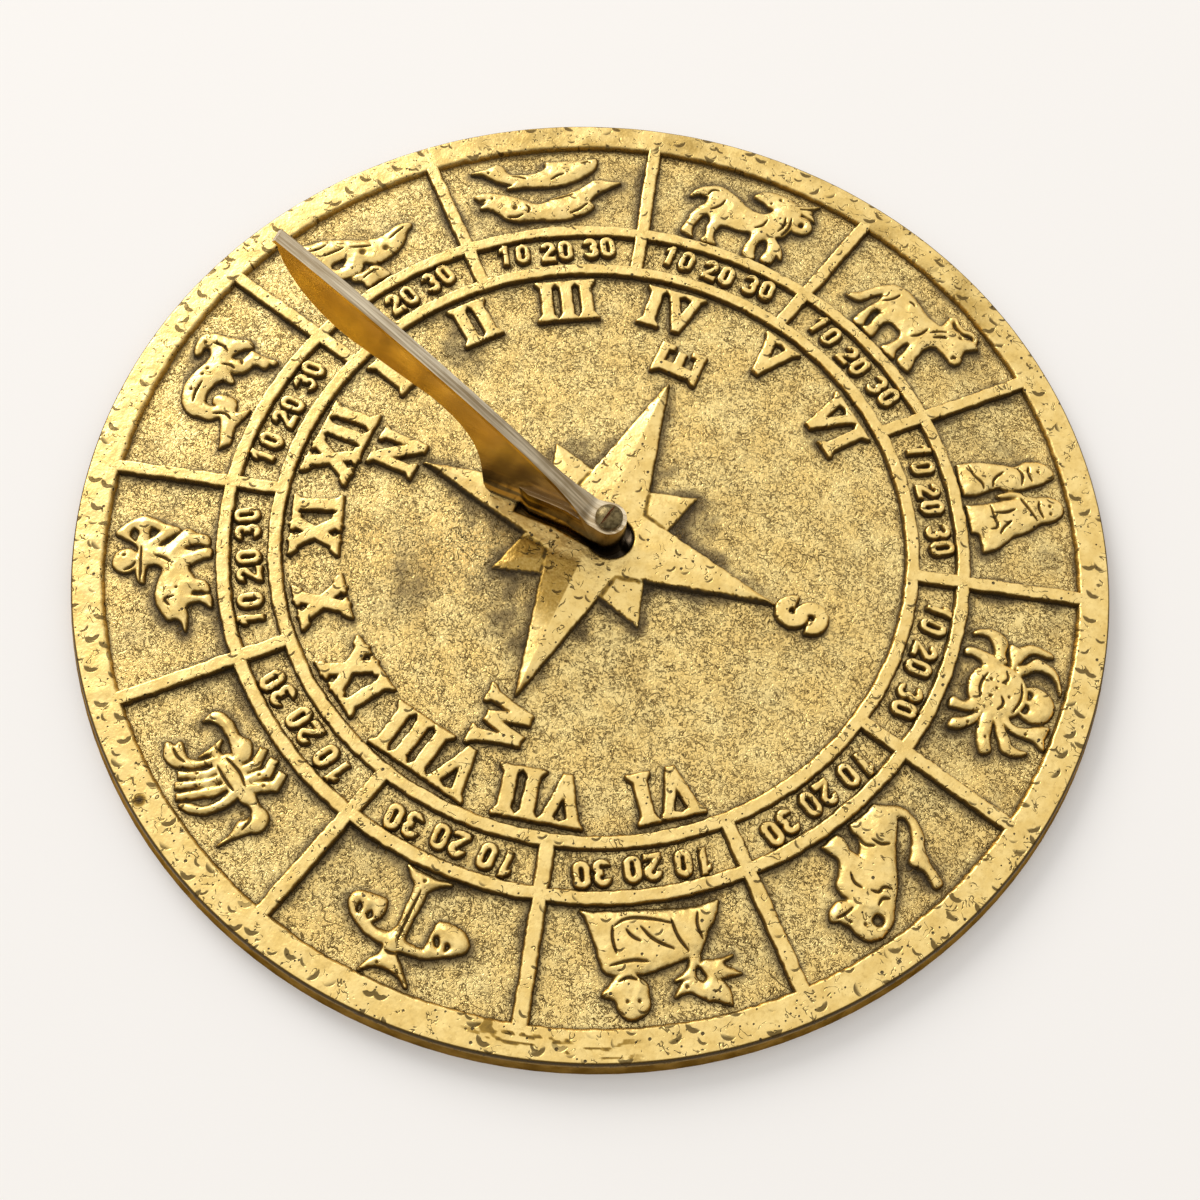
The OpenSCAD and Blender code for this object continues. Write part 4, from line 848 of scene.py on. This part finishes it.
def star_stains_and_shade(x, y, signed_long, signed_short, low_part):
    """Stains and painted shade on the star's top: painted shade on its west ray's north side,
    the north half of its north-west short ray and the grooves at the short rays' roots,
    and stains on its short rays.
    """
    # Painted shade on the west ray's north side
    west_ray_shade = np.clip((-x - 6) / 4, 0, 1) * np.clip((36 + x) / 14, 0, 1)
    west_ray_shade *= np.clip((y + 0.2) / 0.5, 0, 1)
    # Painted shade on the north half of the north-west short ray
    shaded = np.clip((np.abs(y) - np.abs(x)) / 0.5, 0, 1) * (x < 0) * (y > 0)
    stain_and_shade = np.maximum(0.27 * west_ray_shade, low_part * (0.08 + 0.06 * noise(x, y, 3, 15) + 0.22 * shaded))
    # Painted shade in the grooves where the short rays meet the long ones
    groove_shade = np.clip(signed_short / 0.9, 0, 1) * np.exp(-((signed_long + 0.3) / 0.6) ** 2)
    groove_shade *= 0.55 + 0.4 * noise(x, y, 1.4, 23)
    return np.maximum(groove_shade, stain_and_shade)


def star_piece():
    """The compass star, open over the hub pocket; gives its grid of distances."""
    grid = Grid((-48, -48), (48, 48), 0.3, reach=10)
    x, y = grid.points()
    long_rays, kites = star_outlines()
    remember(long_rays)
    signed_long = grid.distance_to(long_rays)
    signed_short = np.full_like(x, -grid.reach)
    for kite in kites:
        remember(kite)
        signed_short = np.maximum(signed_short, grid.distance_to(kite))
    grid.signed = np.maximum(signed_long, signed_short)

    # Long rays rise to a ridge; short ones are lower and rise towards their middle
    along = np.maximum(np.abs(x), np.abs(y))
    taper = STAR_CORNER / math.hypot(STAR_CORNER, RAY_TIP - STAR_CORNER)
    widest = np.clip((RAY_TIP - along) * taper, 0.2, None)
    high = 1.15 + 0.62 * np.clip(signed_long / widest, 0, 1)
    low = 0.42 + 0.15 * np.clip(signed_short, 0, 3.5)
    east = -np.gradient(grid.signed, grid.step, axis=0)
    west_wall = 0.35 * np.clip(-east, 0, 1)
    wave = waver(x, y) - west_wall * np.abs(noise(x, y, 0.8, 20))
    height_long = cast_edge(signed_long + wave) * high
    height_short = cast_edge(signed_short + wave) * low
    height = np.maximum(height_long, height_short)
    pocket = pocket_distance(x, y)
    lip = 1 - np.clip(-pocket / 0.5, 0, 1)
    height = height * (1 - 0.12 * lip ** 2)
    z = FIELD + height + top_waves(x, y) * np.clip(height, 0, 1) * 0.7
    z = np.where(grid.signed < -SKIRT, FIELD - SINK, z)

    # Patina and painted shade on the walls, pushed further onto the west-facing ones
    patina_and_shade = wall_patina_and_shade(grid.signed + wave - west_wall, east)
    low_part = np.clip((height_short - height_long) / 0.15, 0, 1)
    patina_and_shade = np.maximum(patina_and_shade, star_stains_and_shade(x, y, signed_long, signed_short, low_part))
    # Painted shade round the pocket's edge
    patina_and_shade = np.maximum(patina_and_shade, 0.6 * lip)

    # Points just inside the pocket move out to its edge, and the next ones to its floor
    wall = pocket >= 1.3 * grid.step
    keep = any_corner(grid.signed > -SKIRT - HEM) & any_corner(~wall)
    gx, gy = np.gradient(pocket, grid.step)
    edge = (pocket > 0) & (pocket < 4 * grid.step)
    x = np.where(edge, x - pocket * gx, x)
    y = np.where(edge, y - pocket * gy, y)
    z = np.where(wall, POCKET_FLOOR, z)
    # The pocket's walls painted dark as shade, a little less towards the north
    pocket_wall_shade = np.clip(0.9 - 0.07 * (y + 2), 0.5, 0.9)
    surface("star", "compass_star", x, y, z, np.where(wall, pocket_wall_shade, patina_and_shade), keep)
    return grid


star_distance = star_piece()


# Rings, ribs and border
def ring(name, low, high):
    """A raised ring, in four quarters."""
    for quarter in range(4):
        start = math.radians(90 * quarter)
        radii = np.arange(low - 1.1, high + 1.15, 0.2)
        r, a, x, y = polar(radii, np.linspace(start, start + math.pi / 2, 320))
        signed = np.minimum(r - low, high - r) + waver(x, y)
        # Patina and painted shade on the walls, more shade on west-facing ones
        patina_and_shade = wall_patina_and_shade(signed, np.sign(r - (low + high) / 2) * np.sin(a))
        z = raised(signed, RELIEF, x, y)
        surface(f"{name}_{quarter}", name, x, y, z, patina_and_shade, flip=True)


def ribs(name, node, inside, outside):
    """Twelve straight ribs, run a little into the round edges at their ends."""
    half = RIB_WIDTH / 2
    across = np.arange(-half - 1.1, half + 1.11, 0.2)
    for k in range(SECTORS):
        out, along = directions(rib_azimuth(k))
        u, v = np.meshgrid(across, np.arange(inside - 1.3, outside + 1.31, 0.25), indexing="ij")
        x, y = u * along[0] + v * out[0], u * along[1] + v * out[1]
        signed = half - np.abs(u) + waver(x, y)
        # Patina and painted shade on the walls, more shade on west-facing ones
        patina_and_shade = wall_patina_and_shade(signed, np.sign(u) * along[0])
        surface(f"{name}_{k}", node, x, y, raised(signed, RELIEF, x, y), patina_and_shade)
        corners = [(-half, inside), (half, inside), (half, outside), (-half, outside)]
        remember(closed([p[0] * along + p[1] * out for p in corners]))


ring("outer_ring", *OUTER_RING)
ring("inner_ring", *INNER_RING)
ribs("figure_rib", "figure_ribs", OUTER_RING[1], RIM_INNER)
ribs("number_rib", "number_ribs", INNER_RING[1], OUTER_RING[0])

# The border's outer edge: how far out of the top's radius, and at what height
RIM_EDGE = ((-0.35, 4.98), (-0.2, 4.92), (-0.02, 4.78), (0.08, 4.6))
# Heights on its side, and how dark it is at some heights: a black line under the bevel
SIDE_POINTS = (4.2, 3.8, 3.38)
SIDE_HEIGHTS = (3.4, 3.9, 4.2, 4.6, 4.8, 4.94, 5.0)
SIDE_DARKNESS = (0.42, 0.42, 0.75, 0.95, 0.75, 0.5, 0.0)
# Azimuths between which its top is scraped dark, and the place and size of a black spot
SCRAPED = (math.radians(240), math.radians(262))
SPOT = (-104, 66)
SPOT_RADIUS = 1.2


def rim_profile():
    """Radius and fixed height of each point across the border; None where it is cast work."""
    profile = [(RIM_INNER - 1.1 + 0.2 * i, None) for i in range(8)]
    profile += [(RIM_INNER + 0.5 + 0.4 * i, None) for i in range(16)]
    profile += [(TOP_RADIUS + out, z) for out, z in RIM_EDGE]
    profile += [(FOOT_RADIUS - (FOOT_RADIUS - TOP_RADIUS) * z / TOP, z) for z in SIDE_POINTS]
    return profile


def rim_stains(r, a, x, y):
    """The scraped streaks, the black spot, and the east side of the border made darker."""
    streak = noise(r, a * 13, 0.9, 17) + 0.4 * noise(r, a * 60, 0.6, 18) - 0.55
    scraped = np.clip((a - SCRAPED[0]) / 0.1, 0, 1) * np.clip((SCRAPED[1] - a) / 0.1, 0, 1)
    spot = np.exp(-((x - SPOT[0]) ** 2 + (y - SPOT[1]) ** 2) / SPOT_RADIUS ** 2)
    # Darker towards the east side of the border
    dull = np.clip((np.sin(a) - 0.45) / 0.4, 0, 1) * (0.16 + 0.09 * noise(x, y, 6, 27))
    return np.maximum(np.maximum(scraped * np.clip(streak * 3, 0, 0.52), spot), dull)


def rim():
    """The border in twelve lengths, from its inner wall over the top and down the side."""
    profile = rim_profile()
    fall = [0 if z is None else np.interp(z, SIDE_HEIGHTS, SIDE_DARKNESS) for _, z in profile]
    for k in range(SECTORS):
        start = rib_azimuth(k)
        radii = [radius for radius, _ in profile]
        r, a, x, y = polar(radii, np.linspace(start, start + math.pi / 6, 150))
        signed = r - RIM_INNER + waver(x, y)
        z = raised(signed, RELIEF, x, y)
        for i, (_, fixed) in enumerate(profile):
            if fixed is not None:
                z[i] = fixed + top_waves(x[i], y[i]) * np.clip((fixed - 4.5) / 0.5, 0, 1)
        z = np.minimum(z, TOP + 0.08)
        # Patina and painted shade on the inner wall, with less painted shade on the north side,
        # where light falls
        lit_north = np.clip((np.cos(a) - 0.4) / 0.3, 0, 1)
        patina_and_shade = wall_patina_and_shade(signed, 0.5) * (0.85 - 0.4 * lit_north)
        patina_and_shade = np.maximum(patina_and_shade, np.array(fall)[:, None])
        patina_and_shade = np.maximum(patina_and_shade, rim_stains(r, a, x, y))
        surface(f"rim_{k}", "rim_band", x, y, z, patina_and_shade, flip=True)


rim()

# Field

# Pools of patina: place, radius and depth of colour
POOLS = [
    (23, -10, 4, 0.45), (18, -9, 4, 0.45), (15, -19, 5, 0.45), (10, -17, 3.5, 0.5),
    (11, -24, 4, 0.35), (6.5, -31, 3.5, 0.3), (-4, -27, 4, 0.5), (-4.5, -20, 3.5, 0.6),
    (-9, -17, 3.5, 0.6), (-18, -11, 4, 0.55), (-25, -7, 3, 0.45), (-18.5, -16, 4.5, 0.45),
    (-22, 13.5, 5.5, 0.6), (-30, 12.5, 4.5, 0.5), (-24, 20, 3.5, 0.4), (-33, 5.5, 4, 0.6),
    (-5, 29, 4.5, 0.5), (-4, 35, 3.5, 0.4), (-8.5, 20, 4.5, 0.5), (20, 12.5, 4, 0.5),
    (35, 53, 7, 0.45), (-31, 37, 7, 0.35),
]

# Its three bands: name, radii, spacing of the points outwards, and their number clockwise
OVERLAP = 0.4
BANDS = (("table", 10.0, INNER_RING[0] + OVERLAP, 0.6, 66),
         ("cell", INNER_RING[1] - OVERLAP, OUTER_RING[0] + OVERLAP, 0.4, 110),
         ("panel", OUTER_RING[1] - OVERLAP, RIM_INNER + OVERLAP, 0.5, 125))


def open_distance(x, y):
    """How far a point of the field is from all raised work."""
    r = np.hypot(x, y)
    outside = -whole.sample(x, y)
    for low, high in (OUTER_RING, INNER_RING):
        outside = np.minimum(outside, np.maximum(low - r, r - high))
    return np.minimum(outside, RIM_INNER - r)


def pool_patina(x, y):
    """The pools, with ragged edges."""
    u = x + 2.2 * noise(x, y, 5, 21) + noise(x, y, 1.8, 24)
    v = y + 2.2 * noise(x, y, 5, 22) + noise(x, y, 1.8, 25)
    pool = np.zeros_like(x)
    for px, py, radius, depth in POOLS:
        pool = np.maximum(pool, depth * np.exp(-((u - px) ** 2 + (v - py) ** 2) / radius ** 2))
    return pool * (0.8 + 0.4 * noise(x, y, 3, 16))


def field_soot_and_shade(r, x, y):
    """Soot beside raised work and the star, with painted shade making it most on the west side
    of each, and the pools.
    """
    away = np.clip(open_distance(x, y) - 0.6, 0, None)
    eastward = (open_distance(x + 0.5, y) - open_distance(x - 0.5, y)).clip(-1, 1)
    zone = np.where(r > OUTER_RING[0], 0.92, np.where(r > INNER_RING[0], 0.35, 0.55))
    near_rim = np.clip((r - RIM_INNER + 5) / 2, 0, 1)
    # Painted shade: the soot made stronger on the west side of raised work
    zone *= (1 - 0.35 * eastward) * (1 - 0.45 * near_rim)
    strength = (0.8 + 0.55 * noise(x, y, 8, 9)) * zone
    edge = np.exp(-(away / 0.45) ** 2) * 0.22 + strength * 0.66 * np.exp(-(away / 2.5) ** 1.2)
    beyond = np.clip(np.maximum(np.abs(x), np.abs(y)) - 47.5, 0, None)
    from_star = np.clip(-star_distance.sample(x, y) - 0.3, 0, None) + beyond
    star_soot = (0.52 + 0.45 * noise(x, y, 5, 19)) * np.exp(-(from_star / 2.6) ** 1.3)
    return np.clip(np.maximum(edge, star_soot) + pool_patina(x, y), 0, 1)


def field():
    """The field in twelve sectors of three bands, left out well inside raised work."""
    for k in range(SECTORS):
        start = rib_azimuth(k)
        for band, low, high, step, count in BANDS:
            radii = np.linspace(low, high, int((high - low) / step) + 1)
            r, _, x, y = polar(radii, np.linspace(start, start + math.pi / 6, count))
            z = FIELD + 0.05 * noise(x, y, 6, 7) + 0.02 * noise(x, y, 1.3, 8)
            keep = any_corner(whole.sample(x, y) <= 0.5)
            surface(f"{band}_{k}", "dial_plate", x, y, z, field_soot_and_shade(r, x, y), keep,
                    slot="field_brass", flip=True)


field()


# Plate, gnomon and screw
def copied(name, node, material, body, drop=None, bevel=None):
    """A node's own shape as a new piece, with faces left out or edges rounded."""
    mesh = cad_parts[node].data.copy()
    work = bmesh.new()
    work.from_mesh(mesh)
    bmesh.ops.remove_doubles(work, verts=work.verts, dist=0.002 * MM)
    if drop:
        bmesh.ops.delete(work, geom=[f for f in work.faces if drop(f)], context="FACES")
    bmesh.ops.dissolve_limit(work, angle_limit=math.radians(0.5), verts=work.verts,
                             edges=work.edges)
    work.to_mesh(mesh)
    work.free()
    mesh.materials.clear()
    mesh.materials.append(material)
    piece = bpy.data.objects.new(name, mesh)
    bpy.context.scene.collection.objects.link(piece)
    if bevel:
        modifier = piece.modifiers.new("bevel", "BEVEL")
        modifier.width = bevel * MM
        modifier.segments = 3
        modifier.limit_method = "ANGLE"
        modifier.angle_limit = math.radians(30)
    for face in mesh.polygons:
        face.use_smooth = True
    mesh.set_sharp_from_angle(angle=math.radians(35))
    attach(piece, body)
    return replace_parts(piece, node)


def second_material(piece, material, chosen):
    """Gives a second material to the faces that are chosen."""
    piece.data.materials.append(material)
    for face in piece.data.polygons:
        if chosen(face):
            face.material_index = 1


def above_field(face):
    """Whether a whole face lies at the field's height or above."""
    return min(v.co.z for v in face.verts) > (FIELD - 0.01) * MM


def in_pocket(face):
    near_hub = math.hypot(face.center.x, face.center.y) < 30 * MM
    return near_hub and face.center.z > 2.5 * MM


def on_style(face):
    return face.normal.z > 0.45 and face.center.z > 10 * MM


def in_slot(face):
    from_axis = math.hypot(face.center.x, face.center.y + SCREW_SOUTH * MM)
    return abs(face.normal.z) < 0.2 and face.center.z > 14.5 * MM and from_axis < 2.9 * MM


plate = copied("plate", "dial_plate", side_brass(), "dial", drop=above_field)
gnomon = copied("gnomon_blade", "gnomon", gnomon_brass(), "gnomon", bevel=0.3)
screw = copied("screw", "gnomon_screw", screw_metal(), "dial", bevel=0.12)
second_material(plate, pocket_shade_metal(), in_pocket)
second_material(gnomon, style_metal(), on_style)
second_material(screw, slot_metal(), in_slot)

# Floor and light
FLOOR_COLOUR = (0.91, 0.885, 0.855)
FLOOR_HALF = 3.0
LAMP_SIZE = 2.4
LAMP_POWER = 124
WORLD_COLOUR = (1.0, 0.985, 0.965)
# The world is darkest and brightest at these parts of the way towards its bright side
WORLD_PARTS = (-0.35, 0.6)
WORLD_LEVELS = (0.15, 0.96)


def place_floor():
    n = Nodes("floor")
    shader = n.add("ShaderNodeBsdfDiffuse")
    shader.inputs[0].default_value = (*FLOOR_COLOUR, 1)
    n.tree.links.new(shader.outputs[0], n.output.inputs[0])
    mesh = bpy.data.meshes.new("floor")
    corners = [(x * FLOOR_HALF, y * FLOOR_HALF, 0) for x, y in ((-1, -1), (1, -1), (1, 1), (-1, 1))]
    mesh.from_pydata(corners, [], [(0, 1, 2, 3)])
    mesh.materials.append(n.material)
    floor = bpy.data.objects.new("floor", mesh)
    bpy.context.scene.collection.objects.link(floor)


def place_lamp(right, up):
    """A large soft lamp to the upper left of the picture."""
    level_up = Vector((up.x, up.y, 0)).normalized()
    light = bpy.data.lights.new("key", "AREA")
    light.shape = "DISK"
    light.size = LAMP_SIZE
    light.energy = LAMP_POWER
    holder = bpy.data.objects.new("key", light)
    bpy.context.scene.collection.objects.link(holder)
    holder.location = -2.1 * right + 3.5 * level_up + Vector((0, 0, 2.15))
    holder.rotation_euler = (-holder.location).to_track_quat("-Z", "Y").to_euler()


def light_world(right, up):
    """A plain studio, brighter towards the top of the picture."""
    world = bpy.data.worlds.new("studio")
    bpy.context.scene.world = world
    world.use_nodes = True
    tree = world.node_tree
    tree.nodes.clear()
    out = tree.nodes.new("ShaderNodeOutputWorld")
    background = tree.nodes.new("ShaderNodeBackground")
    place = tree.nodes.new("ShaderNodeTexCoord")
    towards = tree.nodes.new("ShaderNodeVectorMath")
    towards.operation = "DOT_PRODUCT"
    towards.inputs[1].default_value = (-0.2 * right + 0.8 * up + Vector((0, 0, 0.5))).normalized()
    level = tree.nodes.new("ShaderNodeMapRange")
    for socket, value in zip(level.inputs[1:5], (*WORLD_PARTS, *WORLD_LEVELS)):
        socket.default_value = value
    background.inputs["Color"].default_value = (*WORLD_COLOUR, 1)
    tree.links.new(place.outputs["Generated"], towards.inputs[0])
    tree.links.new(towards.outputs["Value"], level.inputs[0])
    tree.links.new(level.outputs[0], background.inputs["Strength"])
    tree.links.new(background.outputs[0], out.inputs[0])


right, up = place_camera()
place_floor()
place_lamp(right, up)
light_world(right, up)
bpy.context.scene.view_settings.view_transform = "Standard"
